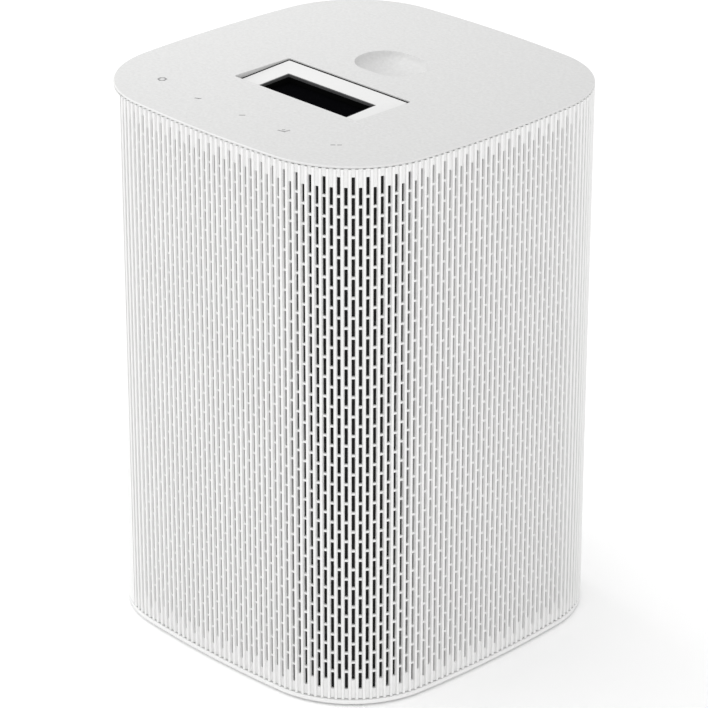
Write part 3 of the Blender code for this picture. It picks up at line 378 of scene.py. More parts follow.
class Nodes:
    """Short names for building one material's node tree."""

    def __init__(self, name, roughness, metallic=0.0, specular=0.5):
        self.material = bpy.data.materials.new(name)
        self.material.use_nodes = True
        self.tree = self.material.node_tree
        self.shader = self.tree.nodes["Principled BSDF"]
        self.shader.inputs["Roughness"].default_value = roughness
        self.shader.inputs["Metallic"].default_value = metallic
        self.shader.inputs["Specular IOR Level"].default_value = specular
        self.place = self.add("ShaderNodeTexCoord").outputs["Object"]

    def add(self, kind, **settings):
        node = self.tree.nodes.new(kind)
        for key, value in settings.items():
            setattr(node, key, value)
        return node

    def link(self, source, target):
        self.tree.links.new(source, target)

    def stretched(self, scale):
        mapping = self.add("ShaderNodeMapping")
        mapping.inputs["Scale"].default_value = scale
        self.link(self.place, mapping.inputs["Vector"])
        return mapping.outputs["Vector"]

    def noise(self, scale, detail=2.0, roughness=0.5, where=None):
        node = self.add("ShaderNodeTexNoise")
        node.inputs["Scale"].default_value = scale
        node.inputs["Detail"].default_value = detail
        node.inputs["Roughness"].default_value = roughness
        self.link(where or self.place, node.inputs["Vector"])
        return node.outputs["Fac"]

    def cells(self, scale, feature="F1", where=None):
        node = self.add("ShaderNodeTexVoronoi", feature=feature)
        node.inputs["Scale"].default_value = scale
        self.link(where or self.place, node.inputs["Vector"])
        return node.outputs["Distance"]

    def bands(self, scale, direction):
        node = self.add("ShaderNodeTexWave", wave_type="BANDS", bands_direction=direction)
        node.inputs["Scale"].default_value = scale
        self.link(self.place, node.inputs["Vector"])
        return node.outputs["Fac"]

    def math(self, operation, first, second):
        node = self.add("ShaderNodeMath", operation=operation)
        for socket, value in zip(node.inputs, (first, second)):
            if isinstance(value, (int, float)):
                socket.default_value = value
            else:
                self.link(value, socket)
        return node.outputs["Value"]

    def colours(self, value, stops):
        ramp = self.add("ShaderNodeValToRGB")
        elements = ramp.color_ramp.elements
        while len(elements) < len(stops):
            elements.new(0.5)
        for element, (position, colour) in zip(elements, stops):
            element.position = position
            element.color = (*colour, 1)
        self.link(value, ramp.inputs["Fac"])
        self.link(ramp.outputs["Color"], self.shader.inputs["Base Color"])

    def rough(self, value, low, high):
        """Roughness from low to high over the middle stretch of a texture value."""
        node = self.add("ShaderNodeMapRange")
        for key, number in (("From Min", 0.35), ("From Max", 0.65), ("To Min", low), ("To Max", high)):
            node.inputs[key].default_value = number
        self.link(value, node.inputs["Value"])
        self.link(node.outputs["Result"], self.shader.inputs["Roughness"])

    def bump(self, height, depth, strength):
        node = self.add("ShaderNodeBump")
        node.inputs["Strength"].default_value = strength
        node.inputs["Distance"].default_value = depth
        self.link(height, node.inputs["Height"])
        self.link(node.outputs["Normal"], self.shader.inputs["Normal"])


def tinted(colour, change):
    return tuple(max(0.0, min(1.0, channel + change)) for channel in colour)


def moulded_white(name, colour, roughness):
    """Satin moulded plastic: a spark-eroded texture with faint cloudiness."""
    n = Nodes(name, roughness)
    fine = n.noise(5200, 2, 0.6)
    cloud = n.noise(42, 3)
    n.colours(cloud, [(0.3, tinted(colour, -0.012)), (0.7, tinted(colour, 0.008))])
    n.rough(fine, roughness - 0.05, roughness + 0.06)
    n.bump(fine, 0.012 * MM, 0.5)
    return n.material


def grained_white(name, colour):
    """The cover's leather-like grain: soft cells broken up by finer noise."""
    n = Nodes(name, 0.6, specular=0.35)
    warp = n.add("ShaderNodeVectorMath", operation="ADD")
    jitter = n.add("ShaderNodeTexNoise")
    jitter.inputs["Scale"].default_value = 700
    n.link(n.place, jitter.inputs["Vector"])
    shrink = n.add("ShaderNodeVectorMath", operation="SCALE")
    shrink.inputs["Scale"].default_value = 0.0011
    n.link(jitter.outputs["Color"], shrink.inputs["Vector"])
    n.link(n.place, warp.inputs[0])
    n.link(shrink.outputs["Vector"], warp.inputs[1])
    grain = n.cells(820, where=warp.outputs["Vector"])
    fine = n.noise(2600, 3, 0.6)
    height = n.math("ADD", grain, n.math("MULTIPLY", fine, 0.5))
    tone = n.noise(900, 2, 0.5)
    n.colours(tone, [(0.25, tinted(colour, -0.035)), (0.75, tinted(colour, 0.02))])
    n.rough(fine, 0.52, 0.68)
    n.bump(height, 0.06 * MM, 0.7)
    return n.material


def woven_black(name):
    """Acoustic mesh: two crossing sets of threads."""
    n = Nodes(name, 0.9, specular=0.08)
    threads = n.math("MULTIPLY", n.bands(700, "Z"), n.math("MAXIMUM", n.bands(700, "X"), n.bands(700, "Y")))
    n.colours(threads, [(0.1, (0.011, 0.011, 0.0112)), (0.9, (0.034, 0.034, 0.035))])
    n.bump(threads, 0.05 * MM, 0.6)
    return n.material


def dark_moulded(name, colour, roughness=0.5, specular=0.4):
    n = Nodes(name, roughness, specular=specular)
    fine = n.noise(3600, 3, 0.6)
    cloud = n.noise(90, 2)
    n.colours(cloud, [(0.3, tinted(colour, -0.15 * colour[0])), (0.7, tinted(colour, 0.15 * colour[0]))])
    n.rough(fine, roughness - 0.08, roughness + 0.1)
    n.bump(fine, 0.02 * MM, 0.6)
    return n.material


def deep_glass(name):
    """Dark coated glass at the bottom of the window, with faint dust."""
    n = Nodes(name, 0.6, specular=0.0)
    dust = n.noise(1500, 4, 0.7)
    n.colours(dust, [(0.55, (0.0016, 0.0016, 0.002)), (0.8, (0.006, 0.006, 0.007))])
    n.rough(dust, 0.35, 0.6)
    return n.material


def optical_glass(name):
    n = Nodes(name, 0.03, specular=0.6)
    n.shader.inputs["Transmission Weight"].default_value = 0.7
    n.shader.inputs["IOR"].default_value = 1.6
    haze = n.noise(260, 2)
    n.colours(haze, [(0.3, (0.62, 0.7, 0.82)), (0.7, (0.72, 0.8, 0.88))])
    n.rough(haze, 0.02, 0.06)
    return n.material


def rubber_material(name, colour):
    n = Nodes(name, 0.8, specular=0.25)
    fine = n.noise(2400, 4, 0.7)
    n.colours(fine, [(0.3, tinted(colour, -0.01)), (0.7, tinted(colour, 0.02))])
    n.rough(fine, 0.7, 0.92)
    n.bump(fine, 0.03 * MM, 0.6)
    return n.material


def brushed_metal(name, colour, roughness, stretch):
    """Metal with fine lines along the direction in which the noise is stretched."""
    n = Nodes(name, roughness, metallic=1.0)
    lines = n.noise(1.0, 3, 0.6, where=n.stretched(stretch))
    n.colours(lines, [(0.3, tinted(colour, -0.06)), (0.7, tinted(colour, 0.05))])
    n.rough(lines, roughness - 0.08, roughness + 0.1)
    n.bump(lines, 0.01 * MM, 0.4)
    return n.material


def circuit_board(name):
    """Solder mask with a raised pattern of tracks."""
    n = Nodes(name, 0.4)
    tracks = n.cells(330, "DISTANCE_TO_EDGE")
    n.colours(tracks, [(0.04, (0.05, 0.22, 0.1)), (0.12, (0.018, 0.11, 0.055))])
    n.bump(tracks, 0.04 * MM, 0.5)
    return n.material


def milky_plastic(name):
    n = Nodes(name, 0.3)
    cloud = n.noise(600, 2)
    n.colours(cloud, [(0.3, (0.84, 0.84, 0.81)), (0.7, (0.92, 0.92, 0.9))])
    n.rough(cloud, 0.25, 0.4)
    return n.material


def paper_cone(name):
    """Pressed fibre with short random strands."""
    n = Nodes(name, 0.85, specular=0.2)
    fibres = n.noise(1.0, 4, 0.7, where=n.stretched((900, 900, 220)))
    n.colours(fibres, [(0.3, (0.03, 0.03, 0.032)), (0.7, (0.075, 0.075, 0.08))])
    n.bump(fibres, 0.06 * MM, 0.7)
    return n.material


def mirror_surface(name):
    n = Nodes(name, 0.03, metallic=1.0)
    coat = n.noise(40, 2)
    n.colours(coat, [(0.3, (0.9, 0.9, 0.91)), (0.7, (0.94, 0.94, 0.95))])
    n.rough(coat, 0.02, 0.05)
    return n.material


def printed_grey(name):
    """Pale grey pad print, thinner where the grain shows through."""
    n = Nodes(name, 0.7, specular=0.3)
    wear = n.noise(2600, 3, 0.6)
    n.colours(wear, [(0.3, (0.23, 0.23, 0.23)), (0.7, (0.3, 0.3, 0.3))])
    return n.material


WHITE = moulded_white("white_moulding", (0.72, 0.72, 0.716), 0.42)
COVER = grained_white("cover_grain", (0.53, 0.53, 0.527))
# Smooth moulding for the cover's outer edge, lighter than the cover to paint in the highlight that the
# rounded edge catches
EDGE_HIGHLIGHT_WHITE = moulded_white("edge_highlight_moulding", (0.6, 0.6, 0.597), 0.45)
TRAY_WHITE = moulded_white("tray_moulding", (0.58, 0.58, 0.577), 0.5)
MESH_BLACK = woven_black("liner_mesh")
DARK = dark_moulded("dark_moulding", (0.05, 0.05, 0.05))
COLLAR_GREY = dark_moulded("collar_grey", (0.055, 0.055, 0.056), 0.7, 0.2)
# Black moulding of the lens well; the tray also lays it across its gap to the cover, where it paints the
# gap's shadow
WELL_BLACK_AND_GAP_SHADE = dark_moulded("well_black_and_gap_shade", (0.003, 0.003, 0.003), 0.9, 0.0)
GLASS = deep_glass("window_glass_black")
LENS = optical_glass("lens_glass_clear")
RUBBER = rubber_material("rubber_dark", (0.1, 0.1, 0.1))
ALUMINIUM = brushed_metal("blasted_aluminium", (0.7, 0.7, 0.72), 0.38, (1800, 1800, 1800))
STEEL = brushed_metal("plain_steel", (0.54, 0.54, 0.56), 0.3, (300, 300, 5000))
BOARD = circuit_board("solder_mask")
GUIDE = milky_plastic("milky_guide")
CONE = paper_cone("paper_cone_black")
MIRROR = mirror_surface("mirror_front")
PRINT = printed_grey("mark_print")

NODE_MATERIALS = {
    "housing_white": WHITE,
    "cover_grain": COVER,
    "liner_black": MESH_BLACK,
    "dark_plastic": DARK,
    "window_glass": GLASS,
    "lens_glass": LENS,
    "rubber": RUBBER,
    "aluminium": ALUMINIUM,
    "steel": STEEL,
    "board_green": BOARD,
    "light_guide": GUIDE,
    "cone_black": CONE,
    "mirror_coat": MIRROR,
}


def dress_nodes():
    """Every CAD node takes the material of its slot in the record."""
    for subpart in frame["record"]["subparts"]:
        node = frame["nodes"][subpart["node"]]
        node.data.materials.clear()
        node.data.materials.append(NODE_MATERIALS[subpart["material_slot"]])


# ---------------------------------------------------------------- sleeve

def groove_profile():
    """Half of a groove, from the middle of a rib to the edge of a slot, as (offset, depth) points."""
    rib_half = CREST_SHARE * PITCH
    points = []
    for i in range(CREST_STEPS + 1):
        angle = math.pi / 2 * i / CREST_STEPS
        points.append((-PITCH / 2 + rib_half * math.sin(angle), CREST_ROUND * (1 - math.cos(angle))))
    wall = -PITCH / 2 + rib_half
    slot = -SLOT_SHARE * PITCH
    points.append((wall, GROOVE_DEPTH * SHOULDER_DEPTH_SHARE))
    points.append((wall + (slot - wall) * BEND_WAY_SHARE, GROOVE_DEPTH * BEND_DEPTH_SHARE))
    points.append((slot, GROOVE_DEPTH))
    return points


def slot_rows(kind):
    """Top and bottom of each slot of a column; the two kinds are half a period apart."""
    top = SLEEVE_HIGH.z - FIRST_SLOT_DROPS[kind]
    return [(top - i * SLOT_PERIOD, top - i * SLOT_PERIOD - SLOT_LENGTH) for i in range(SLOTS_PER_COLUMN)]


def corner_arc(middle_u, middle_z, start, depth):
    """Points of a slot's round corner."""
    return [
        (middle_u + SLOT_CORNER * math.cos(start + math.pi / 4 * i),
         depth,
         middle_z + SLOT_CORNER * math.sin(start + math.pi / 4 * i))
        for i in range(3)
    ]


def slot_outline(top, bottom, depth):
    """A slot's outline at a depth, anticlockwise seen from outside, from its lower right corner."""
    reach = SLOT_SHARE * PITCH - SLOT_CORNER
    quarter = math.pi / 2
    return (corner_arc(reach, bottom + SLOT_CORNER, -quarter, depth)
            + corner_arc(reach, top - SLOT_CORNER, 0, depth)
            + corner_arc(-reach, top - SLOT_CORNER, quarter, depth)
            + corner_arc(-reach, bottom + SLOT_CORNER, 2 * quarter, depth))


def column_template(kind):
    """One groove with its slots, from rib middle to rib middle: (offset, depth, height) points, and faces."""
    points, faces, index = [], [], {}

    def at(offset, depth, height):
        key = (round(offset, 8), round(depth, 8), round(height, 8))
        if key not in index:
            index[key] = len(points)
            points.append((offset, depth, height))
        return index[key]

    top, bottom = SLEEVE_HIGH.z, SLEEVE_LOW.z
    left = groove_profile()
    right = [(-offset, depth) for offset, depth in reversed(left)]
    slots = slot_rows(kind)

    def strips(profile):
        for (u0, d0), (u1, d1) in zip(profile, profile[1:]):
            faces.append([at(u0, d0, bottom), at(u1, d1, bottom), at(u1, d1, top), at(u0, d0, top)])

    side_heights = [top]
    for high, low in slots:
        side_heights += [high - SLOT_CORNER, low + SLOT_CORNER]
    side_heights.append(bottom)

    strips(left[:-1])
    strips(right[1:])
    edge = left[-1][0]
    for side, (u, d) in ((1, left[-2]), (-1, right[1])):
        outer = [at(u, d, bottom), at(u, d, top)]
        inner = [at(side * edge, GROOVE_DEPTH, z) for z in side_heights]
        faces.append(outer + inner)
        back = [at(side * -PITCH / 2, SLEEVE_WALL, bottom), at(side * -PITCH / 2, SLEEVE_WALL, top)]
        faces.append(back + [at(side * edge, SLEEVE_WALL, z) for z in side_heights])

    for depth in (GROOVE_DEPTH, SLEEVE_WALL):
        above = [at(-edge, depth, top), at(edge, depth, top)]
        for high, low in slots:
            ring = slot_outline(high, low, depth)
            head = [at(*point) for point in ring[3:9]]
            faces.append(above + head[::-1])
            foot = ring[9:] + ring[:3]
            above = [at(*point) for point in foot][::-1]
        faces.append(above + [at(edge, depth, bottom), at(-edge, depth, bottom)])

    for high, low in slots:
        front = [at(*point) for point in slot_outline(high, low, GROOVE_DEPTH)]
        back = [at(*point) for point in slot_outline(high, low, SLEEVE_WALL)]
        for i in range(len(front)):
            j = (i + 1) % len(front)
            faces.append([front[i], front[j], back[j], back[i]])

    for height in (bottom, top):
        cap = [at(u, d, height) for u, d in left + right]
        cap += [at(u, SLEEVE_WALL, height) for u in (PITCH / 2, -edge, edge, -PITCH / 2)]
        faces.append(cap)
    return points, faces


def end_template(side):
    """The half rib at one end of the sleeve."""
    top, bottom = SLEEVE_HIGH.z, SLEEVE_LOW.z
    half = PITCH * RIB_SHARE / 2
    profile = [(0, 0)]
    for i in range(1, CREST_STEPS):
        angle = math.pi / 2 * i / CREST_STEPS
        profile.append((half * math.sin(angle), CREST_ROUND * (1 - math.cos(angle))))
    profile += [(half, CREST_ROUND), (half, SLEEVE_WALL), (0, SLEEVE_WALL)]
    points = [(side * u, d, z) for u, d in profile for z in (bottom, top)]
    faces = [[2 * i, 2 * i + 2, 2 * i + 3, 2 * i + 1] for i in range(len(profile) - 1)]
    faces.append([2 * i for i in range(len(profile))])
    faces.append([2 * i + 1 for i in range(len(profile))])
    return points, faces


def build_sleeve():
    """Ribbed sleeve whose grooves alternate between the two kinds of slot column."""
    shape = bmesh.new()
    templates = [column_template(kind) for kind in (0, 1)]
    count = round(2 * LAST_RIB / PITCH)

    def stamp(template, middle):
        points, faces = template
        made = []
        for offset, depth, height in points:
            x, y = outline_point(middle + offset, depth)
            made.append(shape.verts.new((x, y, height)))
        for face in faces:
            shape.faces.new([made[i] for i in face]).smooth = True

    for i in range(count):
        middle = -LAST_RIB + (i + 0.5) * PITCH
        step = round((middle + CORNER_DISTANCE) / PITCH - 0.5)
        stamp(templates[step % 2], middle)
    stamp(end_template(-1), -LAST_RIB)
    stamp(end_template(1), LAST_RIB)
    sleeve = finish_mesh(shape, "ribbed_sleeve", 38)
    place_piece(sleeve, "housing", WHITE, "housing_white", "grille_sleeve")


# ---------------------------------------------------------------- top cover

def cover_rings():
    """Profile of the cover from its underside, round the skirt, out to the edge and up to the top face."""
    skirt_out = INNER_INSET + GAP
    skirt_in = skirt_out + SKIRT_WALL
    skirt_end = COVER_UNDERSIDE - SKIRT_HEIGHT
    profile = [
        (skirt_in, COVER_UNDERSIDE), (skirt_in, skirt_end), (skirt_out, skirt_end),
        (skirt_out, COVER_UNDERSIDE), (INNER_INSET, COVER_UNDERSIDE), (INNER_INSET, HEIGHT - TOP_EDGE),
        (UNDERCUT_INSET, HEIGHT - TOP_EDGE), (UNDERCUT_LIP, HEIGHT - TOP_EDGE + UNDERCUT_RISE),
    ]
    for i in range(EDGE_STEPS + 1):
        angle = math.pi / 2 * i / EDGE_STEPS
        profile.append((EDGE_ROUND * (1 - math.cos(angle)), HEIGHT - EDGE_ROUND * (1 - math.sin(angle))))
    return profile


def build_dish(shape):
    """The finger dish: returns its rim and the outline of its bowl on the underside."""
    inside = []
    first = math.asin(DISH_LIFT / DISH_DEPTH)
    rim_radius = DISH_RADIUS * math.cos(first)
    inside.append(add_ring(shape, stadium(rim_radius + RIM_FILLET), HEIGHT))
    inside.append(add_ring(shape, stadium(rim_radius), HEIGHT - RIM_FILLET))
    for i in range(1, DISH_LEVELS):
        angle = first + (DISH_LAST_ANGLE - first) * i / (DISH_LEVELS - 1)
        level = HEIGHT + DISH_LIFT - DISH_DEPTH * math.sin(angle)
        inside.append(add_ring(shape, stadium(DISH_RADIUS * math.cos(angle)), level))
    for first_ring, second_ring in zip(inside, inside[1:]):
        bridge(shape, first_ring, second_ring)
    shape.faces.new(inside[-1]).smooth = True
    bowl = stadium(DISH_RADIUS + DISH_WALL)
    bowl_top = add_ring(shape, bowl, COVER_UNDERSIDE)
    bowl_end = add_ring(shape, bowl, HEIGHT - DISH_DEPTH - DISH_WALL)
    bridge(shape, bowl_top, bowl_end)
    shape.faces.new(bowl_end).smooth = False
    return inside[0], bowl_top


def build_crease(shape):
    """A shallow crease along the front of the window that fades out past both ends."""
    middle_y = WINDOW_Y - WINDOW_WIDTH / 2 - CREASE_GAP
    near, far, floor = [], [], []
    for i in range(CREASE_STEPS + 1):
        share = -1 + 2 * i / CREASE_STEPS
        fade = 1 - share * share
        x = share * CREASE_HALF_LENGTH
        if i in (0, CREASE_STEPS):
            tip = shape.verts.new((x, middle_y, HEIGHT))
            near.append(tip)
            far.append(tip)
            floor.append(tip)
            continue
        near.append(shape.verts.new((x, middle_y - CREASE_HALF_WIDTH * fade, HEIGHT)))
        far.append(shape.verts.new((x, middle_y + CREASE_HALF_WIDTH * fade, HEIGHT)))
        floor.append(shape.verts.new((x, middle_y, HEIGHT - CREASE_DEPTH * fade)))
    for side in (near, far):
        for i in range(CREASE_STEPS):
            corners = []
            for vertex in (side[i], side[i + 1], floor[i + 1], floor[i]):
                if vertex not in corners:
                    corners.append(vertex)
            shape.faces.new(corners).smooth = True
    return near + far[-2:0:-1]


def window_loop(inset):
    half_x = WINDOW_LENGTH / 2 - inset
    half_y = WINDOW_WIDTH / 2 - inset
    return round_rect(-half_x, half_x, WINDOW_Y - half_y, WINDOW_Y + half_y, WINDOW_CORNER - inset, steps=4)


def build_cover():
    shape = bmesh.new()
    profile = cover_rings()
    rings = [add_ring(shape, housing_loop(inset), level) for inset, level in profile]
    # All profile faces take the second slot, the lighter edge moulding with its painted highlight
    for lower, upper in zip(rings, rings[1:]):
        bridge(shape, lower, upper, slot=1)
    rim, bowl = build_dish(shape)
    crease = build_crease(shape)
    mouth = add_ring(shape, window_loop(-RIM_FILLET), HEIGHT)
    wall_top = add_ring(shape, window_loop(0), HEIGHT - RIM_FILLET)
    wall_end = add_ring(shape, window_loop(0), COVER_UNDERSIDE)
    bridge(shape, mouth, wall_top)
    bridge(shape, wall_top, wall_end)
    fill_between(shape, [rings[-1], rim, mouth, crease])
    fill_between(shape, [rings[0], bowl, wall_end])
    cover = finish_mesh(shape, "grained_cover", 35)
    cover.data.materials.append(COVER)
    cover.data.materials.append(EDGE_HIGHLIGHT_WHITE)
    place_piece(cover, "housing", None, "cover_grain", "top_cover")


# ---------------------------------------------------------------- window

def tray_level(x, y):
    """Height of the tray's floor: it falls to the front."""
    share = (WINDOW_Y + WINDOW_WIDTH / 2 - y) / WINDOW_WIDTH
    return HEIGHT - TRAY_DROP_BACK - (TRAY_DROP_FRONT - TRAY_DROP_BACK) * share


def opening_loop(inset):
    half_x = OPENING_LENGTH / 2 - inset
    half_y = OPENING_WIDTH / 2 - inset
    return round_rect(OPENING_X - half_x, OPENING_X + half_x, OPENING_Y - half_y, OPENING_Y + half_y,
                      OPENING_CORNER, steps=3)


def build_tray():
    """Shallow hopper round the opening, with a near-black sheet across its gap to the cover as painted
    shadow, and its flange and shaft below.
    """
    shape = bmesh.new()

    def frame_loop(inset):
        half_x = WINDOW_LENGTH / 2 - TRAY_GAP - inset
        half_y = WINDOW_WIDTH / 2 - TRAY_GAP - inset
        return round_rect(-half_x, half_x, WINDOW_Y - half_y, WINDOW_Y + half_y, TRAY_CORNER, steps=3)

    def lowered(drop):
        return lambda x, y: tray_level(x, y) - drop

    flange_top = COVER_UNDERSIDE - GAP
    rings = [
        add_ring(shape, opening_loop(0), TRAY_LOW.z),
        add_ring(shape, opening_loop(0), lowered(TRAY_HOPPER + TRAY_EDGE)),
        add_ring(shape, opening_loop(-TRAY_EDGE), lowered(TRAY_HOPPER)),
        add_ring(shape, frame_loop(TRAY_EDGE), lowered(0)),
        add_ring(shape, frame_loop(0), lowered(TRAY_EDGE)),
        add_ring(shape, frame_loop(0), lowered(SHADE_SHEET_DROP)),
        add_ring(shape, frame_loop(SHADE_SHEET_SEAM - TRAY_GAP), lowered(SHADE_SHEET_DROP)),
        add_ring(shape, frame_loop(SHADE_SHEET_SEAM - TRAY_GAP), flange_top),
        add_ring(shape, frame_loop(-TRAY_WALL), flange_top),
        add_ring(shape, frame_loop(-TRAY_WALL), flange_top - TRAY_WALL),
        add_ring(shape, opening_loop(-TRAY_WALL), flange_top - TRAY_WALL),
        add_ring(shape, opening_loop(-TRAY_WALL), TRAY_LOW.z),
    ]
    # A near-black sheet runs from the tray's edge across the gap, down, and out over the flange; it paints
    # the shadow in the gap
    shade_pairs = range(5, 8)
    close_rings(shape, rings, shade_pairs)
    tray = finish_mesh(shape, "hopper_tray", 30)
    tray.data.materials.append(TRAY_WHITE)
    tray.data.materials.append(WELL_BLACK_AND_GAP_SHADE)
    place_piece(tray, "housing", None, "housing_white", "window_tray")


def build_seal():
    """Grey collar round the opening, over a darker, wider well that goes down to the glass."""
    shape = bmesh.new()

    def collar(drop):
        return lambda x, y: tray_level(x, y) - TRAY_HOPPER - drop

    well_end = SEAL_LOW.z - 2 * GAP
    rings = [
        add_ring(shape, opening_loop(COLLAR_INSET), collar(COLLAR_DROP + COLLAR_EDGE)),
        add_ring(shape, opening_loop(COLLAR_INSET + COLLAR_EDGE), collar(COLLAR_DROP)),
        add_ring(shape, opening_loop(COLLAR_WALL - COLLAR_EDGE), collar(COLLAR_DROP)),
        add_ring(shape, opening_loop(COLLAR_WALL), collar(COLLAR_DROP + COLLAR_EDGE)),
        add_ring(shape, opening_loop(COLLAR_WALL), collar(COLLAR_DROP + COLLAR_HEIGHT)),
        add_ring(shape, opening_loop(WELL_INSET), collar(COLLAR_DROP + COLLAR_HEIGHT)),
        add_ring(shape, opening_loop(WELL_INSET), well_end),
        add_ring(shape, opening_loop(COLLAR_INSET), well_end),
    ]
    # The well is everything below the collar
    well = range(4, 8)
    close_rings(shape, rings, well)
    seal = finish_mesh(shape, "window_collar", 30)
    seal.data.materials.append(COLLAR_GREY)
    seal.data.materials.append(WELL_BLACK_AND_GAP_SHADE)
    place_piece(seal, "housing", None, "dark_plastic", "window_seal")


# ---------------------------------------------------------------- touch marks

def stroke(shape, points):
    """A raised flat line through points on the cover."""
    half = MARK_LINE / 2
    level = HEIGHT + MARK_RISE
    for (x0, y0), (x1, y1) in zip(points, points[1:]):
        along = Vector((x1 - x0, y1 - y0)).normalized()
        across = Vector((-along.y, along.x)) * half
        start = Vector((x0, y0)) - along * half * 0.5
        end = Vector((x1, y1)) + along * half * 0.5
        corners = (start + across, start - across, end - across, end + across)
        low = [shape.verts.new((c.x, c.y, HEIGHT - MARK_RISE)) for c in corners]
        high = [shape.verts.new((c.x, c.y, level)) for c in corners]
        bridge(shape, low, high, smooth=False)
        shape.faces.new(high).smooth = False
        shape.faces.new(low[::-1]).smooth = False


def ring_points(radius, steps):
    """A closed ring of straight strokes; the first point comes again at the end."""
    turns = [math.radians(360 * i / steps) for i in range(steps + 1)]
    return [(radius * math.cos(turn), radius * math.sin(turn)) for turn in turns]


def build_marks():
    """Five small generic marks: a ring, a bent line, a dash, a dash over a chevron, and two dashes."""
    one = 1 * MM
    cosine, sine = math.cos(MARK_TURN), math.sin(MARK_TURN)
    drawings = (
        [ring_points(1.4 * MM, 6)],
        [[(-one, 0.3 * MM), (0.2 * MM, -0.3 * MM), (one, 0)]],
        [[(-one, 0), (0.8 * MM, 0)]],
        [[(-1.9 * MM, 0.6 * MM), (0.2 * MM, -0.7 * MM), (1.9 * MM, 0.6 * MM)],
         [(-0.5 * MM, one), (0.3 * MM, one)]],
        [[(-1.7 * MM, 0), (-0.4 * MM, 0)], [(0.5 * MM, 0), (1.7 * MM, 0)]],
    )
    for i, (x, inset, drawing) in enumerate(zip(MARK_XS, MARK_INSETS, drawings)):
        shape = bmesh.new()
        y = COVER_LOW.y + inset
        for line in drawing:
            stroke(shape, [(x + u * cosine - v * sine, y + u * sine + v * cosine) for u, v in line])
        mark = finish_mesh(shape, f"touch_mark_{i + 1}")
        place_piece(mark, "housing", PRINT, "cover_grain")


# ---------------------------------------------------------------- port panel, base and foot

def build_panel():
    """Smooth panel with the port row's recess cut through it."""
    shape = bmesh.new()
    start = GRILLE_END + GAP
    end = PERIMETER - start
    stations = [start + (end - start) * i / PANEL_STATIONS for i in range(PANEL_STATIONS + 1)]
    low, high = PANEL_LOW.z, PANEL_HIGH.z
    edge = PANEL_EDGE
    turn = edge * EDGE_TURN
    profile = [
        (0, low + edge), (0, high - edge), (turn, high - turn), (edge, high),
        (SLEEVE_WALL, high), (SLEEVE_WALL, low), (edge, low), (turn, low + turn),
    ]
    rings = []
    for distance in stations:
        ring = []
        for inset, level in profile:
            x, y = outline_point(distance, inset)
            ring.append(shape.verts.new((x, y, level)))
        rings.append(ring)
    for first, second in zip(rings, rings[1:]):
        bridge(shape, first, second)
    shape.faces.new(rings[0]).smooth = False
    shape.faces.new(rings[-1][::-1]).smooth = False
    panel = finish_mesh(shape, "smooth_panel", 35)

    low_z, high_z = PORTS_LOW.z + RECESS_RIM, PORTS_HIGH.z - RECESS_RIM
    half = PORTS_HIGH.y - RECESS_RIM
    corner = half * RECESS_CORNER_SHARE
    face = PANEL_LOW.x
    cutter_shape = bmesh.new()
    sides = []
    for x, grow in ((face - CUTTER_LEAD, CHAMFER_GROW), (face + CHAMFER_DEPTH, 0), (face + CUTTER_REACH, 0)):
        outline = round_rect(-half - grow, half + grow, low_z - grow, high_z + grow, corner + grow, steps=8)
        sides.append([cutter_shape.verts.new((x, y, z)) for y, z in outline])
    bridge(cutter_shape, sides[0], sides[1])
    bridge(cutter_shape, sides[1], sides[2])
    cutter_shape.faces.new(sides[0])
    cutter_shape.faces.new(sides[2])
    cutter = finish_mesh(cutter_shape, "recess_cutter")
    cut(panel, cutter)
    place_piece(panel, "housing", WHITE, "housing_white", "port_panel")


def round_hole_cutter(x, y, radius, low, high):
    shape = bmesh.new()
    lathe(shape, [(0, low), (radius, low), (radius, high), (0, high)], HOLE_SIDES, x, y)
    return finish_mesh(shape, "hole_cutter")


def build_base():
    """Base with a round rim, the foot's groove, the skirt and four screw seats."""
    shape = bmesh.new()
    skirt_out = INNER_INSET + GAP
    skirt_in = skirt_out + SKIRT_WALL
    groove_out = FOOT_INSET - GAP
    groove_in = FOOT_INSET + FOOT_WIDTH + GAP
    groove_top = FOOT_HIGH.z + GAP
    profile = [(groove_in, RIM_BOTTOM), (groove_in, groove_top), (groove_out, groove_top),
               (groove_out, RIM_BOTTOM)]
    for i in range(EDGE_STEPS + 1):
        angle = math.pi / 2 * (1 - i / EDGE_STEPS)
        profile.append((EDGE_ROUND * (1 - math.cos(angle)), RIM_BOTTOM + EDGE_ROUND * (1 - math.sin(angle))))
    for i in range(EDGE_STEPS + 1):
        angle = math.pi / 2 * i / EDGE_STEPS
        profile.append((EDGE_ROUND * (1 - math.cos(angle)), RIM_TOP - EDGE_ROUND * (1 - math.sin(angle))))
    profile += [
        (INNER_INSET, RIM_TOP), (INNER_INSET, FLOOR_TOP), (skirt_out, FLOOR_TOP),
        (skirt_out, FLOOR_TOP + SKIRT_HEIGHT), (skirt_in, FLOOR_TOP + SKIRT_HEIGHT), (skirt_in, FLOOR_TOP),
    ]
    rings = [add_ring(shape, housing_loop(inset), level) for inset, level in profile]
    for lower, upper in zip(rings, rings[1:]):
        bridge(shape, lower, upper)
    shape.faces.new(rings[0][::-1]).smooth = False
    shape.faces.new(rings[-1]).smooth = False
    base = finish_mesh(shape, "rim_and_floor", 35)
    for i in range(SCREW_COUNT):
        low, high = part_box(f"base_screw_{i + 1}")
        x, y = (low.x + high.x) / 2, (low.y + high.y) / 2
        seat = (high.x - low.x) / 2 + GAP
        cut(base, round_hole_cutter(x, y, seat, -CUT_PAST, low.z + SCREW_HEAD_ROOM))
        cut(base, round_hole_cutter(x, y, seat * SCREW_HOLE_SHARE, -CUT_PAST, FLOOR_TOP + CUT_PAST))
    base.data.set_sharp_from_angle(angle=math.radians(35))
    place_piece(base, "housing", WHITE, "housing_white", "base_tray")


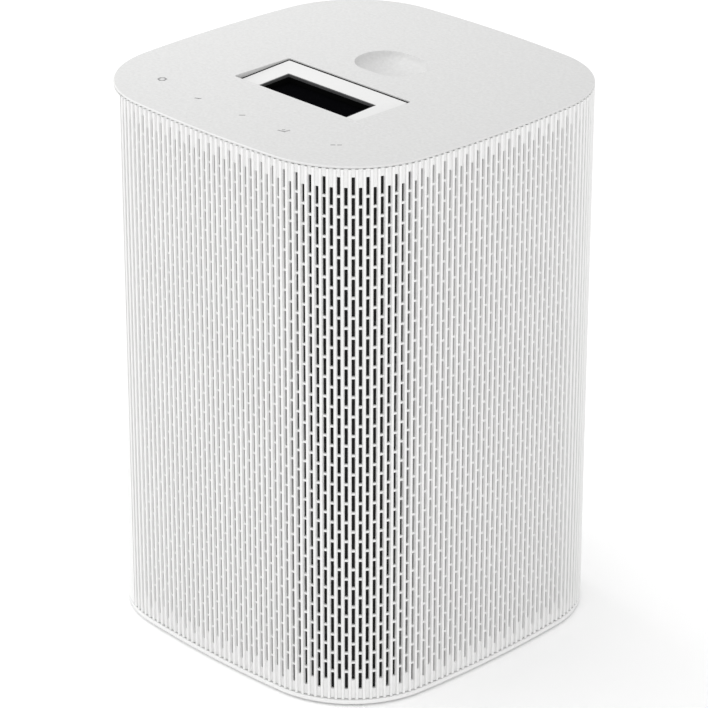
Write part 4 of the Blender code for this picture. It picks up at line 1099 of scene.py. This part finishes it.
def build_foot():
    """Soft ring that the speaker stands on."""
    shape = bmesh.new()
    outer, inner, top = FOOT_INSET, FOOT_INSET + FOOT_WIDTH, FOOT_HIGH.z
    edge = FOOT_EDGE
    turn = edge * EDGE_TURN
    rings = [
        add_ring(shape, housing_loop(inset), level)
        for inset, level in ((outer, top), (outer, edge), (outer + turn, turn), (outer + edge, 0),
                             (inner - edge, 0), (inner - turn, turn), (inner, edge), (inner, top))
    ]
    close_rings(shape, rings)
    foot = finish_mesh(shape, "soft_foot", 60)
    place_piece(foot, "housing", RUBBER, "rubber", "foot_ring")


# ---------------------------------------------------------------- stage, lights and camera

CAMERA_AZIMUTH = math.radians(46)
CAMERA_DISTANCE = 8.207 * WIDTH
CAMERA_HEIGHT = 4.441 * WIDTH
CAMERA_PITCH = math.radians(24.63)
CAMERA_LENS = 183.1
SENSOR_WIDTH = 36
CLIP_START = 0.05
CLIP_END = 20
FLOOR_SIZE = 6
BODY_MIDDLE = (0, 0, 0.1)
TOP_MIDDLE = (0, 0, HEIGHT)

# Lamps: name, place, side of the square, power and the point that it is aimed at
LAMPS = (
    ("key", (-1.1, -0.75, 0.7), 0.5, 5, BODY_MIDDLE),
    ("fill", (1.0, -0.75, 0.5), 0.4, 3.4, BODY_MIDDLE),
    ("side", (-0.22, 0.03, 0.5), 0.2, 0.55, TOP_MIDDLE),
)


def build_floor():
    bpy.ops.mesh.primitive_plane_add(size=FLOOR_SIZE, location=(0, 0, 0))
    floor = bpy.context.active_object
    floor.name = "floor"
    n = Nodes("floor_white", 0.9, specular=0.0)
    tone = n.noise(3, 2)
    n.colours(tone, [(0.3, (0.975, 0.975, 0.975)), (0.7, (0.99, 0.99, 0.99))])
    floor.data.materials.append(n.material)


def aim(obj, target):
    obj.rotation_mode = "QUATERNION"
    obj.rotation_quaternion = (Vector(target) - obj.location).to_track_quat("-Z", "Y")


def area_light(name, place, size, power, target):
    data = bpy.data.lights.new(name, "AREA")
    data.shape = "SQUARE"
    data.size = size
    data.energy = power
    lamp = bpy.data.objects.new(name, data)
    bpy.context.scene.collection.objects.link(lamp)
    lamp.location = place
    aim(lamp, target)


def build_lights():
    world = bpy.data.worlds.new("studio")
    bpy.context.scene.world = world
    world.use_nodes = True
    background = world.node_tree.nodes["Background"]
    background.inputs["Color"].default_value = (1, 1, 1, 1)
    background.inputs["Strength"].default_value = 1.0
    for lamp in LAMPS:
        area_light(*lamp)
    bpy.context.scene.view_settings.view_transform = "Standard"


def build_camera():
    data = bpy.data.cameras.new("camera")
    data.lens = CAMERA_LENS
    data.sensor_width = SENSOR_WIDTH
    data.clip_start = CLIP_START
    data.clip_end = CLIP_END
    camera = bpy.data.objects.new("camera", data)
    bpy.context.scene.collection.objects.link(camera)
    x, y = CAMERA_DISTANCE * math.sin(CAMERA_AZIMUTH), -CAMERA_DISTANCE * math.cos(CAMERA_AZIMUTH)
    camera.location = (x, y, CAMERA_HEIGHT)
    aim(camera, (0, 0, CAMERA_HEIGHT - CAMERA_DISTANCE * math.tan(CAMERA_PITCH)))
    bpy.context.scene.camera = camera


dress_nodes()
build_sleeve()
build_cover()
build_tray()
build_seal()
build_marks()
build_panel()
build_base()
build_foot()
build_floor()
build_lights()
build_camera()
